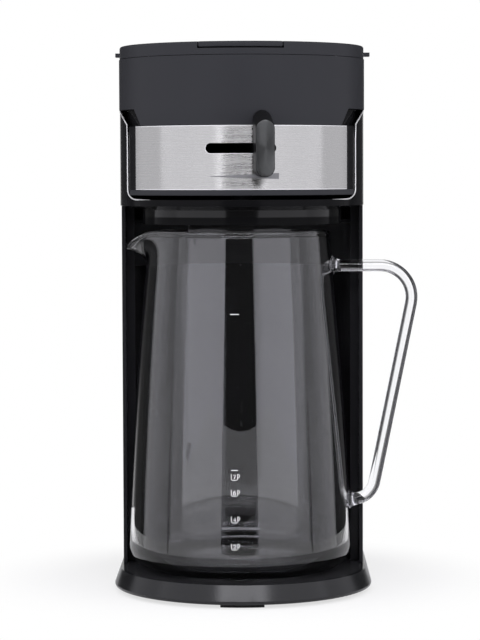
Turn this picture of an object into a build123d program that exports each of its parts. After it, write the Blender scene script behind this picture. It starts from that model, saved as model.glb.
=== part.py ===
from build123d import *
import os
from math import acos, asin, cos, degrees, hypot, radians, sin

# Iced coffee maker with a glass jug. Sizes are millimetres.
# X runs to the right, Y to the back and Z up.
# The origin is on the counter, on the vertical axis of the half-round front.

# Whole body
body_half_width = 77.0
rear_depth = 86.0
rear_corner_radius = 40.0
shell_wall = 2.5
band_proud = 0.4
band_wall = 2.4

# Clearances
slip_gap = 0.2
seat_gap = 0.3
lift_gap = 0.6
running_gap = 0.06
cut_past = 2.0

# Base
foot_height = 2.4
rim_top = 14.2
rim_widest_height = 4.8
rim_flare = 4.8
rim_lip = 1.0
rim_lip_width = 2.0
rim_under_radius = 2.0
deck_drop = 0.2
deck_thickness = 2.5
cover_thickness = 2.0
foot_width = 27.0
foot_depth = 12.0
foot_inset = 2.0
rear_foot_side_inset = 29.0
rear_foot_back_inset = 24.0
rear_foot_radius = 9.0
boss_radius = 4.5
screw_side_inset = 22.0
screw_front_y = -30.0
screw_back_inset = 42.0
screw_head_radius = 3.2
screw_head_height = 1.2
screw_shank_radius = 1.5
screw_length = 6.0

# Column and the jug's bay
jamb_front = 22.0
jamb_depth = 3.0
jamb_side_inset = 7.7
wing_front = 10.5
wing_thickness = 2.4
bay_side_inset = 3.0
bay_wall_thickness = 2.0
bay_wall_top_gap = 1.0

# Head, from the jug's rim upwards
jug_head_gap = 4.8
tray_height = 11.5
rim_strip_height = 4.0
opening_side_inset = 6.2
opening_corner_radius = 6.0
lip_rise = 2.6
lip_height = 3.5
fascia_height = 39.1
shoulder_foot_rise = 0.5
shoulder_height = 10.0
apron_tuck = 0.8
band_height = 32.0
lid_height = 7.9
head_bore_gap = 0.6
tray_top_inset = 1.2
tray_bottom_inset = 14.0
tray_slope_height = 2.5
tray_wall = 2.0
outlet_hole_radius = 16.0

# Water tank and its lid
split_setback = 3.6
tank_side_inset = 7.0
tank_setback = 6.0
tank_back_gap = 3.0
tank_wall = 2.2
tank_rim_drop = 3.0
platform_thickness = 3.0
valve_x = -20.0
valve_setback = 20.0
valve_radius = 8.0
valve_height = 7.0
valve_bore = 3.0
tank_lid_plug_depth = 6.0
lug_reach = 7.2
lug_thickness = 2.5
lug_length = 9.0
lug_setback = 1.4

# Heater
boiler_lift = 12.5
boiler_tube_radius = 6.0
boiler_bore = 4.0
boiler_arm_x = 38.0
boiler_setback = 16.0
boiler_length = 40.0
element_radius = 3.6
pin_radius = 1.2
pin_length = 8.0
hose_radius = 3.5
hose_bore = 2.3
hose_setback = 5.5
hose_bend = 5.0
clamp_width = 12.0
clamp_height = 6.3
thermostat_radius = 8.0
thermostat_height = 5.0
fuse_radius = 2.4
fuse_length = 14.0
probe_setback = 14.0
block_size = 14.0
block_side_inset = 17.0
block_setback = 32.0

# Riser
riser_setback = 6.2
riser_angle = 49.0
riser_radius = 4.5
riser_bore = 3.0
riser_turn_setback = 1.0
riser_bend = 9.0
riser_top_drop = 7.0
bracket_width = 12.0
bracket_thickness = 3.0
nozzle_rise = 9.2
nozzle_radius = 3.6

# Power switch and cord outlet
switch_setback = 24.0
switch_z = 26.5
switch_length = 24.0
switch_width = 17.0
switch_bezel_proud = 1.2
switch_bezel_wall = 2.0
switch_flange = 1.8
switch_depth = 12.0
rocker_thickness = 4.0
rocker_swing_gap = 0.7
rocker_angle = 6.0
axle_radius = 1.3
axle_reach = 1.0
gland_x = -30.0
gland_z = 24.0
gland_bore = 3.6
gland_radius = 6.5
gland_flange_radius = 9.0
gland_flange = 2.0
gland_length = 14.0

# Brew basket
apron_side_inset = 9.0
apron_lean = 4.5
fascia_inset = 0.5
fascia_thickness = 0.8
fascia_angle = 58.5
fascia_top_gap = 0.3
strip_angle = 66.0
drum_gap = 2.2
drum_wall = 2.2
lip_side_inset = 7.2
collector_radius = 34.0
collector_height = 16.0
collector_wall = 2.0
spout_radius = 7.0
spout_bore = 5.0
spout_drop = 10.0
plate_thickness = 2.5
cup_gap = 5.4
cup_wall = 2.0
cup_floor_rise = 7.2
cup_drop = 5.2
cup_flange_width = 2.6
cup_flange_thickness = 2.0
port_circle = 13.0
port_radius = 3.0
port_count = 6

# Reusable filter
filter_gap = 2.6
filter_taper = 12.4
filter_ring_height = 3.0
filter_ring_width = 3.0
filter_rib_width = 2.4
filter_rib_count = 8
mesh_thickness = 0.6

# Water bridge and shower plate
bridge_drop = 5.0
bridge_height = 4.4
bridge_width = 14.0
shower_radius = 20.0
shower_hole_radius = 1.2
shower_hole_circle = 13.0
shower_hole_count = 12
socket_wall = 2.0
socket_gap = 0.4
channel_wall = 1.0

# Strength lever
lever_rise = 25.2
lever_rest_angle = 9.5
slot_half_length = 21.4
slot_height = 6.2
slot_relief = 0.8
arm_width = 5.0
arm_thickness = 4.2
hub_radius = 8.0
hub_drop = 0.4
pivot_radius = 3.0
disc_radius = 20.0
disc_thickness = 3.0
clip_radius = 6.0
clip_thickness = 1.2
knob_gap = 2.2
knob_depth = 10.9
knob_width = 11.6
knob_below = 17.6
knob_above = 17.0
knob_back_above = 22.8
cap_thickness = 0.8
cap_inset = 0.3

# Lid over the basket
lid_plate = 2.5
lid_wall = 2.2
lid_edge_round = 1.4
tab_half_width = 25.5
tab_height = 3.4
tab_depth = 7.0
tab_gap = 0.7
hinge_ear_inset = 11.0
hinge_ear_width = 8.0
hinge_pin_radius = 2.0
hinge_pin_reach = 6.0
hinge_ear_drop = 8.0
hinge_ear_gap = 0.5

# Jug
jug_shift = -1.8
jug_rim_height = 228.2
jug_bay_gap = 3.2
jug_middle_draw = 4.7
jug_middle_height = 120.3
jug_shoulder_draw = 11.7
jug_shoulder_drop = 18.5
jug_rim_draw = 13.3
jug_belly_height = 28.0
jug_corner_radius = 15.0
jug_wall = 2.4
jug_floor = 6.0
spout_overhang = 0.6
spout_tip_radius = 5.0
spout_root_drop = 14.7
spout_lip_drop = 10.6
spout_curl_setback = 20.4
spout_curl_middle = 6.9
spout_curl_sag = 3.2
spout_curl_drop = 1.0
handle_rod_radius = 3.8
handle_top_drop = 22.2
handle_top_reach = 56.3
handle_low_reach = 17.5
handle_low_height = 57.6
handle_root_drop = 1.2
handle_top_bend = 20.0
handle_low_bend = 14.0
handle_flare_radius = 6.4
handle_flare_length = 5.0
handle_flare_sink = 1.0

# Widths and depths that follow
bay_radius = body_half_width - bay_side_inset
bay_outer_radius = bay_radius + bay_wall_thickness
body_back = bay_outer_radius + rear_depth
split_y = bay_outer_radius - split_setback
tank_front = bay_outer_radius + tank_setback
tank_half_width = body_half_width - tank_side_inset
rear_front = split_y + lift_gap
jamb_inner_x = body_half_width - jamb_side_inset
jamb_back = jamb_front + jamb_depth
screw_x = body_half_width - screw_side_inset
screw_rear_y = body_back - screw_back_inset
rear_foot_x = body_half_width - rear_foot_side_inset
rear_foot_y = body_back - rear_foot_back_inset
head_bore_radius = bay_radius + head_bore_gap
opening_half_width = body_half_width - opening_side_inset
apron_half_width = opening_half_width - apron_side_inset
apron_corner_half_width = apron_half_width + apron_lean
fascia_radius = body_half_width - fascia_inset
lip_half_width = body_half_width - lip_side_inset
drum_radius = head_bore_radius - drum_gap
drum_inner_radius = drum_radius - drum_wall
cup_radius = drum_radius - cup_gap
filter_top_radius = cup_radius - filter_gap
filter_floor_radius = filter_top_radius - filter_taper
hinge_ear_x = body_half_width - hinge_ear_inset
boiler_front_y = bay_outer_radius + boiler_setback
boiler_bend_y = boiler_front_y + boiler_length
hose_front_y = bay_outer_radius + hose_setback
valve_y = boiler_front_y + valve_setback
probe_y = boiler_front_y + probe_setback
block_x = body_half_width - block_side_inset
block_y = boiler_front_y + block_setback
riser_reach = bay_outer_radius + riser_setback
riser_x = riser_reach * cos(radians(riser_angle))
riser_y = riser_reach * sin(radians(riser_angle))
riser_turn_y = bay_outer_radius + riser_turn_setback
switch_y = bay_outer_radius + switch_setback
knob_back_radius = fascia_radius + knob_gap
knob_front_radius = knob_back_radius + knob_depth
jug_belly_radius = bay_radius - jug_bay_gap
jug_middle_radius = jug_belly_radius - jug_middle_draw
jug_shoulder_radius = jug_belly_radius - jug_shoulder_draw
jug_rim_radius = jug_belly_radius - jug_rim_draw
spout_reach = jug_belly_radius + spout_overhang
spout_curl_start = spout_reach - spout_curl_setback
handle_top_corner = jug_rim_radius + handle_top_reach
handle_low_corner = jug_middle_radius + handle_low_reach

# Heights that follow
deck_top = rim_top - deck_drop
jug_bottom = deck_top + seat_gap
jug_shoulder_height = jug_rim_height - jug_shoulder_drop
spout_root_height = jug_rim_height - spout_root_drop
spout_lip_height = jug_rim_height - spout_lip_drop
handle_top_height = jug_rim_height - handle_top_drop
head_bottom = jug_rim_height + jug_head_gap
head_rim_bottom = head_bottom + tray_height
opening_bottom = head_rim_bottom + rim_strip_height
lip_bottom = opening_bottom + lip_rise
fascia_bottom = lip_bottom + lip_height
fascia_top = fascia_bottom + fascia_height
lever_height = fascia_bottom + lever_rise
apron_bottom = fascia_top + fascia_top_gap
shoulder_foot = apron_bottom + shoulder_foot_rise
shoulder_top = apron_bottom + shoulder_height
band_top = shoulder_top + band_height
lid_bottom = band_top + seat_gap
lid_top = lid_bottom + lid_height
lid_barrel_radius = lid_height / 2
hinge_z = lid_bottom + lid_barrel_radius
hinge_y = split_y - lid_barrel_radius
bay_wall_top = shoulder_top - bay_wall_top_gap
boiler_height = deck_top + boiler_lift
clamp_bottom = boiler_height + boiler_tube_radius
platform_bottom = clamp_bottom + clamp_height
tank_platform_top = platform_bottom + platform_thickness
tank_floor_height = tank_platform_top + slip_gap
valve_bottom = tank_platform_top - valve_height
plate_bottom = shoulder_top + seat_gap
plate_top = plate_bottom + plate_thickness
riser_top = shoulder_top - riser_top_drop
nozzle_top = plate_top + nozzle_rise
cup_floor_height = lever_height + cup_floor_rise
cup_top = band_top - cup_drop
bridge_bottom = band_top - bridge_drop
disc_top = cup_floor_height - seat_gap
arm_bottom = lever_height - arm_thickness / 2
knob_bottom = lever_height - knob_below
knob_top = lever_height + knob_above
knob_back_top = lever_height + knob_back_above

# The faces that take the switch and the cord outlet
switch_plane = Plane((body_half_width, switch_y, switch_z), x_dir=(0, 1, 0), z_dir=(1, 0, 0))
switch_body_length = switch_length - 2 * switch_flange
switch_body_width = switch_width - 2 * switch_flange
gland_plane = Plane((gland_x, body_back, gland_z), x_dir=(-1, 0, 0), z_dir=(0, 1, 0))


def footprint(inset=0.0):
    """The body's plan: half-round front, straight sides and large rear corners."""
    half = body_half_width - inset
    back = body_back - inset
    with BuildSketch(Plane.XY) as plan:
        with BuildLine():
            ThreePointArc((-half, 0), (0, -half), (half, 0))
            FilletPolyline(
                (half, 0), (half, back), (-half, back), (-half, 0), radius=rear_corner_radius - inset
            )
        make_face()
    return plan.sketch


def front_plan(inset, back):
    """The plan in front of a straight line at y = back."""
    half = body_half_width - inset
    with BuildSketch(Plane.XY) as plan:
        with BuildLine():
            ThreePointArc((-half, 0), (0, -half), (half, 0))
            Polyline((half, 0), (half, back), (-half, back), (-half, 0))
        make_face()
    return plan.sketch


def rear_plan(half, front, back, corner):
    """A plan with a straight front at y = front and round rear corners."""
    with BuildSketch(Plane.XY) as plan:
        with BuildLine():
            FilletPolyline((half, front), (half, back), (-half, back), (-half, front), radius=corner)
            Line((-half, front), (half, front))
        make_face()
    return plan.sketch


def rear_body_plan(inset, front):
    """The rear stretch of the body's plan, drawn in by inset."""
    return rear_plan(body_half_width - inset, front, body_back - inset, rear_corner_radius - inset)


def sector(radius, half_angle):
    """A pie slice of the front, half_angle each side of the straight-ahead line."""
    edge = (radius * sin(radians(half_angle)), -radius * cos(radians(half_angle)))
    with BuildSketch(Plane.XY) as slice_plan:
        with BuildLine():
            ThreePointArc((-edge[0], edge[1]), (0, -radius), edge)
            Polyline(edge, (0, 0), (-edge[0], edge[1]))
        make_face()
    return slice_plan.sketch


# Base rim
with BuildPart() as base_rim:
    with BuildSketch(Plane.XY.offset(rim_widest_height)):
        add(footprint(-rim_flare))
    with BuildSketch(Plane.XY.offset(rim_top)):
        add(footprint(-rim_lip))
    loft(ruled=True)
    with BuildSketch(Plane.XY.offset(rim_widest_height)):
        add(footprint(-rim_flare))
    extrude(amount=foot_height - rim_widest_height)
    fillet(base_rim.edges().group_by(Axis.Z)[0], rim_under_radius)
    with BuildSketch(Plane.XY.offset(foot_height)):
        add(footprint(rim_lip_width - rim_lip))
    extrude(amount=rim_top, mode=Mode.SUBTRACT)

# Where the four cover screws go
screw_places = [
    (-screw_x, screw_front_y),
    (screw_x, screw_front_y),
    (-screw_x, screw_rear_y),
    (screw_x, screw_rear_y),
]
inner_base_inset = rim_lip_width - rim_lip + slip_gap
cover_top = foot_height + cover_thickness

with BuildPart() as base_deck:
    with BuildSketch(Plane.XY.offset(deck_top)):
        add(footprint(inner_base_inset))
    extrude(amount=-deck_thickness)
    with BuildSketch(Plane.XY.offset(cover_top)):
        with Locations(*screw_places):
            Circle(boss_radius)
    extrude(amount=deck_top - deck_thickness - cover_top)
    with BuildSketch(Plane.XY.offset(cover_top)):
        with Locations(*screw_places):
            Circle(screw_shank_radius)
    extrude(amount=screw_length, mode=Mode.SUBTRACT)

with BuildPart() as bottom_cover:
    with BuildSketch(Plane.XY.offset(foot_height)):
        add(footprint(inner_base_inset))
    extrude(amount=cover_thickness)
    with BuildSketch(Plane.XY.offset(foot_height)):
        with Locations(*screw_places):
            Circle(screw_head_radius + slip_gap)
    extrude(amount=screw_head_height, mode=Mode.SUBTRACT)
    with BuildSketch(Plane.XY.offset(foot_height)):
        with Locations(*screw_places):
            Circle(screw_shank_radius + slip_gap)
    extrude(amount=cover_thickness, mode=Mode.SUBTRACT)

with BuildPart() as base_screws:
    with BuildSketch(Plane.XY.offset(foot_height)):
        with Locations(*screw_places):
            Circle(screw_head_radius)
    extrude(amount=screw_head_height)
    with BuildSketch(Plane.XY.offset(foot_height + screw_head_height)):
        with Locations(*screw_places):
            Circle(screw_shank_radius)
    extrude(amount=cover_thickness - screw_head_height + screw_length)

# Rubber feet: one curved pad at the front and two round ones at the back
front_foot_radius = body_half_width - foot_inset
with BuildPart() as feet:
    with BuildSketch():
        Circle(front_foot_radius)
        Circle(front_foot_radius - foot_depth, mode=Mode.SUBTRACT)
        with Locations((0, -front_foot_radius)):
            Rectangle(foot_width, front_foot_radius, mode=Mode.INTERSECT)
        with Locations((-rear_foot_x, rear_foot_y), (rear_foot_x, rear_foot_y)):
            Circle(rear_foot_radius)
    extrude(amount=foot_height)

# Housing: the column's sides and back, the wings beside the jug, the head's arms and the rim below
wing_sides = ((-body_half_width, Align.MIN), (body_half_width, Align.MAX))
with BuildPart() as housing:
    with BuildSketch(Plane.XY.offset(rim_top)):
        add(rear_body_plan(0, jamb_front))
    extrude(amount=shoulder_top - rim_top)
    with BuildSketch(Plane.XY.offset(head_rim_bottom)):
        add(front_plan(0, jamb_back))
    extrude(amount=shoulder_top - head_rim_bottom)
    with BuildSketch(Plane.XY.offset(rim_top)):
        add(rear_body_plan(shell_wall, jamb_back))
    extrude(amount=shoulder_top, mode=Mode.SUBTRACT)
    with BuildSketch(Plane.XY.offset(rim_top)):
        with Locations((0, jamb_front)):
            Rectangle(2 * jamb_inner_x, 2 * (jamb_depth + cut_past))
    extrude(amount=shoulder_top, mode=Mode.SUBTRACT)
    with BuildSketch(Plane.XY.offset(head_rim_bottom)):
        Circle(head_bore_radius)
    extrude(amount=shoulder_top, mode=Mode.SUBTRACT)
    with BuildSketch(Plane.XY.offset(rim_top)):
        for side_x, side_align in wing_sides:
            with Locations((side_x, wing_front)):
                Rectangle(wing_thickness, jamb_back - wing_front, align=(side_align, Align.MIN))
    extrude(amount=head_rim_bottom - rim_top)
    with BuildSketch(Plane.XZ):
        with BuildLine():
            FilletPolyline(
                (-body_half_width - cut_past, shoulder_top + cut_past),
                (-body_half_width, shoulder_top),
                (-opening_half_width, shoulder_foot),
                (-opening_half_width, opening_bottom),
                (opening_half_width, opening_bottom),
                (opening_half_width, shoulder_foot),
                (body_half_width, shoulder_top),
                (body_half_width + cut_past, shoulder_top + cut_past),
                radius=[0, 0, opening_corner_radius, opening_corner_radius, 0, 0],
            )
            Line(
                (body_half_width + cut_past, shoulder_top + cut_past),
                (-body_half_width - cut_past, shoulder_top + cut_past),
            )
        make_face()
    extrude(amount=body_half_width + cut_past, mode=Mode.SUBTRACT)
    with BuildSketch(switch_plane):
        Rectangle(switch_body_length, switch_body_width)
    extrude(amount=-switch_depth, mode=Mode.SUBTRACT)
    with BuildSketch(gland_plane):
        Circle(gland_radius)
    extrude(amount=-gland_length, mode=Mode.SUBTRACT)

# Curved wall behind the jug, and the back of the basket's bore above it
with BuildPart() as bay_wall:
    with BuildSketch(Plane.XY.offset(rim_top)):
        Circle(bay_outer_radius)
        Circle(bay_radius, mode=Mode.SUBTRACT)
        with Locations((0, jamb_back + slip_gap)):
            Rectangle(
                2 * jamb_inner_x, 2 * bay_outer_radius, align=(Align.CENTER, Align.MIN), mode=Mode.INTERSECT
            )
    extrude(amount=bay_wall_top - rim_top)

# Tray under the head: sloping shoulder, upright skirt, floor and the hole that the coffee falls through
tray_back = jamb_front - slip_gap
tray_slope = (tray_bottom_inset - tray_top_inset) / tray_slope_height
slope_bottom = head_rim_bottom - tray_slope_height
slope_wall = tray_wall * hypot(1, tray_slope)
inner_slope_bottom = slope_bottom + (slope_wall - tray_wall) / tray_slope
with BuildPart() as head_tray:
    with BuildSketch(Plane.XY.offset(slope_bottom)):
        add(front_plan(tray_bottom_inset, tray_back))
    with BuildSketch(Plane.XY.offset(head_rim_bottom)):
        add(front_plan(tray_top_inset, tray_back))
    loft(ruled=True)
    with BuildSketch(Plane.XY.offset(head_bottom)):
        add(front_plan(tray_bottom_inset, tray_back))
    extrude(amount=slope_bottom - head_bottom)
    with BuildSketch(Plane.XY.offset(inner_slope_bottom)):
        add(front_plan(tray_bottom_inset + tray_wall, tray_back - tray_wall))
    with BuildSketch(Plane.XY.offset(head_rim_bottom)):
        add(front_plan(tray_top_inset + slope_wall, tray_back - tray_wall))
    loft(ruled=True, mode=Mode.SUBTRACT)
    with BuildSketch(Plane.XY.offset(head_bottom + tray_wall)):
        add(front_plan(tray_bottom_inset + tray_wall, tray_back - tray_wall))
    extrude(amount=inner_slope_bottom - head_bottom - tray_wall, mode=Mode.SUBTRACT)
    with BuildSketch(Plane.XY.offset(head_bottom)):
        Circle(bay_radius - slip_gap)
        with Locations((0, tray_back - tray_wall)):
            Rectangle(
                2 * (jamb_inner_x - slip_gap),
                2 * bay_radius,
                align=(Align.CENTER, Align.MIN),
                mode=Mode.INTERSECT,
            )
    extrude(amount=tray_wall)
    with BuildSketch(Plane.XY.offset(head_bottom)):
        Circle(outlet_hole_radius)
    extrude(amount=tray_wall, mode=Mode.SUBTRACT)
    with BuildSketch(Plane.XY.offset(slope_bottom)):
        for side_x, side_align in wing_sides:
            with Locations((side_x, wing_front - slip_gap)):
                Rectangle(
                    wing_thickness + slip_gap,
                    jamb_front - wing_front + slip_gap,
                    align=(side_align, Align.MIN),
                )
    extrude(amount=tray_slope_height, mode=Mode.SUBTRACT)

# Upper band around the tank at the back
with BuildPart() as rear_collar:
    with BuildSketch(Plane.XY.offset(shoulder_top)):
        add(rear_body_plan(-band_proud, rear_front))
        add(rear_body_plan(band_wall - band_proud, rear_front + band_wall), mode=Mode.SUBTRACT)
    extrude(amount=band_top - shoulder_top)

# Water tank, with the hole for its outlet valve
tank_back = body_back - shell_wall - tank_back_gap
tank_corner = rear_corner_radius - shell_wall - tank_back_gap
with BuildPart() as water_tank:
    with BuildSketch(Plane.XY.offset(tank_floor_height)):
        add(rear_plan(tank_half_width, tank_front, tank_back, tank_corner))
    extrude(amount=band_top - tank_rim_drop - tank_floor_height)
    with BuildSketch(Plane.XY.offset(tank_floor_height + tank_wall)):
        add(
            rear_plan(
                tank_half_width - tank_wall,
                tank_front + tank_wall,
                tank_back - tank_wall,
                tank_corner - tank_wall,
            )
        )
    extrude(amount=band_top, mode=Mode.SUBTRACT)
    with BuildSketch(Plane.XY.offset(tank_floor_height)):
        with Locations((valve_x, valve_y)):
            Circle(valve_bore + tank_wall)
    extrude(amount=tank_wall, mode=Mode.SUBTRACT)

# Shelf that the tank stands on, between the housing's walls
with BuildPart() as tank_platform:
    with BuildSketch(Plane.XY.offset(platform_bottom)):
        add(rear_body_plan(shell_wall + slip_gap, bay_outer_radius + slip_gap))
        with Locations((valve_x, valve_y)):
            Circle(valve_radius + slip_gap, mode=Mode.SUBTRACT)
    extrude(amount=platform_thickness)

# Outlet valve below the tank, with a spigot that plugs into the tank's floor
with BuildPart() as check_valve:
    with BuildSketch(Plane.XY.offset(tank_platform_top - valve_height)):
        with Locations((valve_x, valve_y)):
            Circle(valve_radius)
    extrude(amount=valve_height)
    with BuildSketch(Plane.XY.offset(tank_platform_top)):
        with Locations((valve_x, valve_y)):
            Circle(valve_bore + tank_wall - slip_gap)
    extrude(amount=tank_wall)
    with BuildSketch(Plane.XY.offset(tank_platform_top - valve_height)):
        with Locations((valve_x, valve_y)):
            Circle(valve_bore)
    extrude(amount=valve_height + tank_wall, mode=Mode.SUBTRACT)

# Boiler: a U of aluminium with the water tube above and the element's sheath below
element_z = deck_top + seat_gap + element_radius


def boiler_path(height):
    """The boiler's U in plan, open to the front."""
    bend_start = boiler_bend_y - boiler_arm_x
    with BuildLine(Plane.XY.offset(height)) as path:
        Line((-boiler_arm_x, boiler_front_y), (-boiler_arm_x, bend_start))
        ThreePointArc((-boiler_arm_x, bend_start), (0, boiler_bend_y), (boiler_arm_x, bend_start))
        Line((boiler_arm_x, bend_start), (boiler_arm_x, boiler_front_y))
    return path.line


left_end = (-boiler_arm_x, boiler_front_y, boiler_height)
right_end = (boiler_arm_x, boiler_front_y, boiler_height)
with BuildPart() as boiler:
    with BuildSketch(Plane(left_end, x_dir=(1, 0, 0), z_dir=(0, 1, 0))):
        Circle(boiler_tube_radius)
        with Locations((0, boiler_height - element_z)):
            Circle(element_radius)
        Circle(boiler_bore, mode=Mode.SUBTRACT)
    sweep(path=boiler_path(boiler_height))

with BuildPart() as element_pins:
    with BuildSketch(Plane.XZ.offset(-boiler_front_y)):
        with Locations((-boiler_arm_x, element_z), (boiler_arm_x, element_z)):
            Circle(pin_radius)
    extrude(amount=pin_length)

with BuildPart() as boiler_clamp:
    with BuildSketch(Plane.XY.offset(clamp_bottom)):
        with Locations((0, boiler_bend_y)):
            Rectangle(boiler_arm_x, clamp_width)
    extrude(amount=clamp_height)

with BuildPart() as thermostat:
    with BuildSketch(Plane.XY.offset(clamp_bottom)):
        with Locations((boiler_arm_x, probe_y)):
            Circle(thermostat_radius)
    extrude(amount=thermostat_height)

with BuildPart() as thermal_fuse:
    with BuildSketch(Plane.XZ.offset(-probe_y)):
        with Locations((-boiler_arm_x - fuse_radius, clamp_bottom + fuse_radius)):
            Circle(fuse_radius)
    extrude(amount=fuse_length / 2, both=True)

with BuildPart() as terminal_block:
    with BuildSketch(Plane.XY.offset(deck_top)):
        with Locations((block_x, block_y)):
            Rectangle(block_size, block_size)
    extrude(amount=block_size)

# Hose from the outlet valve round to the boiler's left end
with BuildPart() as feed_hose:
    with BuildLine() as hose_path:
        FilletPolyline(
            (valve_x, valve_y, valve_bottom),
            (valve_x, valve_y, boiler_height),
            (valve_x, hose_front_y, boiler_height),
            (-boiler_arm_x, hose_front_y, boiler_height),
            left_end,
            radius=hose_bend,
        )
    with BuildSketch(Plane((valve_x, valve_y, valve_bottom), z_dir=(0, 0, -1))):
        Circle(hose_radius)
        Circle(hose_bore, mode=Mode.SUBTRACT)
    sweep(path=hose_path.line)

# Riser from the boiler's right end up the corner of the column
with BuildPart() as riser_tube:
    with BuildLine() as riser_path:
        FilletPolyline(
            right_end,
            (boiler_arm_x, riser_turn_y, boiler_height),
            (riser_x, riser_y, boiler_height),
            (riser_x, riser_y, riser_top),
            radius=riser_bend,
        )
    with BuildSketch(Plane(right_end, x_dir=(1, 0, 0), z_dir=(0, -1, 0))):
        Circle(riser_radius)
        Circle(riser_bore, mode=Mode.SUBTRACT)
    sweep(path=riser_path.line)

# Nozzle on top of the riser, with a tongue that seats against the curved wall
riser_plane = Plane((0, 0, riser_top), x_dir=(riser_x, riser_y, 0), z_dir=(0, 0, 1))
with BuildPart() as riser_nozzle:
    with BuildSketch(riser_plane):
        with Locations((riser_reach, 0)):
            Circle(bracket_width / 2)
        with Locations((bay_outer_radius + slip_gap, 0)):
            Rectangle(riser_reach - bay_outer_radius, bracket_width, align=(Align.MIN, Align.CENTER))
    extrude(amount=bracket_thickness)
    with BuildSketch(riser_plane):
        with Locations((riser_reach, 0)):
            Circle(nozzle_radius)
    extrude(amount=nozzle_top - riser_top)
    with BuildSketch(riser_plane):
        with Locations((riser_reach, 0)):
            Circle(riser_bore - running_gap)
    extrude(amount=nozzle_top - riser_top, mode=Mode.SUBTRACT)

# Power switch low on the right side: a bezel through the housing and a rocker on an axle
pocket_length = switch_body_length - 2 * switch_bezel_wall
pocket_width = switch_body_width - 2 * switch_bezel_wall
rocker_length = pocket_length - 2 * rocker_swing_gap
rocker_width = pocket_width - 2 * seat_gap
with BuildPart() as switch_bezel:
    with BuildSketch(switch_plane):
        RectangleRounded(switch_length, switch_width, switch_flange)
    extrude(amount=switch_bezel_proud)
    with BuildSketch(switch_plane):
        Rectangle(switch_body_length, switch_body_width)
    extrude(amount=-switch_depth)
    with BuildSketch(switch_plane.offset(switch_bezel_proud)):
        Rectangle(pocket_length, pocket_width)
    extrude(amount=switch_bezel_wall - switch_depth, mode=Mode.SUBTRACT)
    with BuildSketch(Plane.XY.offset(switch_z)):
        with Locations((body_half_width - rocker_thickness / 2, switch_y)):
            Circle(axle_radius + running_gap)
    extrude(amount=pocket_width / 2 + axle_reach, both=True, mode=Mode.SUBTRACT)

rocker_pivot = (body_half_width - rocker_thickness / 2, switch_y)
with BuildPart() as switch_rocker:
    with BuildSketch(Plane.XY.offset(switch_z)):
        with Locations(Location(rocker_pivot, rocker_angle)):
            Rectangle(2 * rocker_thickness, rocker_length)
        with Locations(rocker_pivot):
            Circle(hypot(rocker_length / 2, rocker_thickness) - axle_reach / 2, mode=Mode.INTERSECT)
    extrude(amount=rocker_width / 2, both=True)
    with BuildSketch(Plane.XY.offset(switch_z)):
        with Locations(rocker_pivot):
            Circle(axle_radius)
    extrude(amount=pocket_width / 2 + axle_reach - slip_gap, both=True)

# Cord outlet in the back wall
with BuildPart() as cord_gland:
    with BuildSketch(gland_plane):
        Circle(gland_flange_radius)
    extrude(amount=gland_flange)
    with BuildSketch(gland_plane):
        Circle(gland_radius)
    extrude(amount=gland_flange - gland_length)
    with BuildSketch(gland_plane.offset(gland_flange)):
        Circle(gland_bore)
    extrude(amount=-gland_length, mode=Mode.SUBTRACT)

# Basket band: the D-shaped ring, its plate, the apron tucked in over the fascia and the hinge ears
band_inset = band_wall - band_proud
with BuildPart() as basket_band:
    with BuildSketch(Plane.XY.offset(apron_bottom)):
        add(front_plan(apron_tuck - band_proud, split_y))
    with BuildSketch(Plane.XY.offset(plate_bottom)):
        add(front_plan(-band_proud, split_y))
    loft(ruled=True)
    with BuildSketch(Plane.XY.offset(plate_bottom)):
        add(front_plan(-band_proud, split_y))
    extrude(amount=band_top - plate_bottom)
    with BuildSketch(Plane.XY.offset(apron_bottom)):
        add(front_plan(band_inset, split_y - band_wall))
    extrude(amount=band_top - apron_bottom, mode=Mode.SUBTRACT)
    with BuildSketch(Plane.XY.offset(apron_bottom)):
        with Locations((0, -drum_radius * cos(radians(strip_angle)))):
            Rectangle(2 * body_back, 2 * body_back, align=(Align.CENTER, Align.MIN))
    extrude(amount=plate_bottom - apron_bottom, mode=Mode.SUBTRACT)
    with BuildSketch(Plane.XZ):
        with BuildLine():
            Polyline(
                (apron_half_width, apron_bottom),
                (apron_corner_half_width, plate_bottom),
                (2 * body_half_width, plate_bottom),
                (2 * body_half_width, apron_bottom),
                (apron_half_width, apron_bottom),
            )
        make_face()
        mirror(about=Plane.YZ)
    extrude(amount=2 * body_half_width, mode=Mode.SUBTRACT)
    with BuildSketch(Plane.XY.offset(plate_bottom)):
        add(front_plan(0, split_y - band_proud))
        Circle(cup_radius + seat_gap, mode=Mode.SUBTRACT)
        with Locations((riser_x, riser_y)):
            Circle(nozzle_radius + socket_gap, mode=Mode.SUBTRACT)
    extrude(amount=plate_thickness)
    with BuildSketch(Plane.XY.offset(hinge_z - hinge_ear_drop)):
        with Locations((-hinge_ear_x, split_y), (hinge_ear_x, split_y)):
            Rectangle(hinge_ear_width, 2 * lid_barrel_radius - slip_gap, align=(Align.CENTER, Align.MAX))
    extrude(amount=hinge_ear_drop)
    for side in (-1, 1):
        with BuildSketch(Plane.YZ.offset(side * hinge_ear_x)):
            with Locations((hinge_y, hinge_z)):
                Circle(lid_barrel_radius - slip_gap)
        extrude(amount=hinge_ear_width / 2, both=True)
        with BuildSketch(Plane.YZ.offset(side * hinge_ear_x)):
            with Locations((hinge_y, hinge_z)):
                Circle(hinge_pin_radius)
        extrude(amount=hinge_ear_width / 2, both=True, mode=Mode.SUBTRACT)

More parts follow.
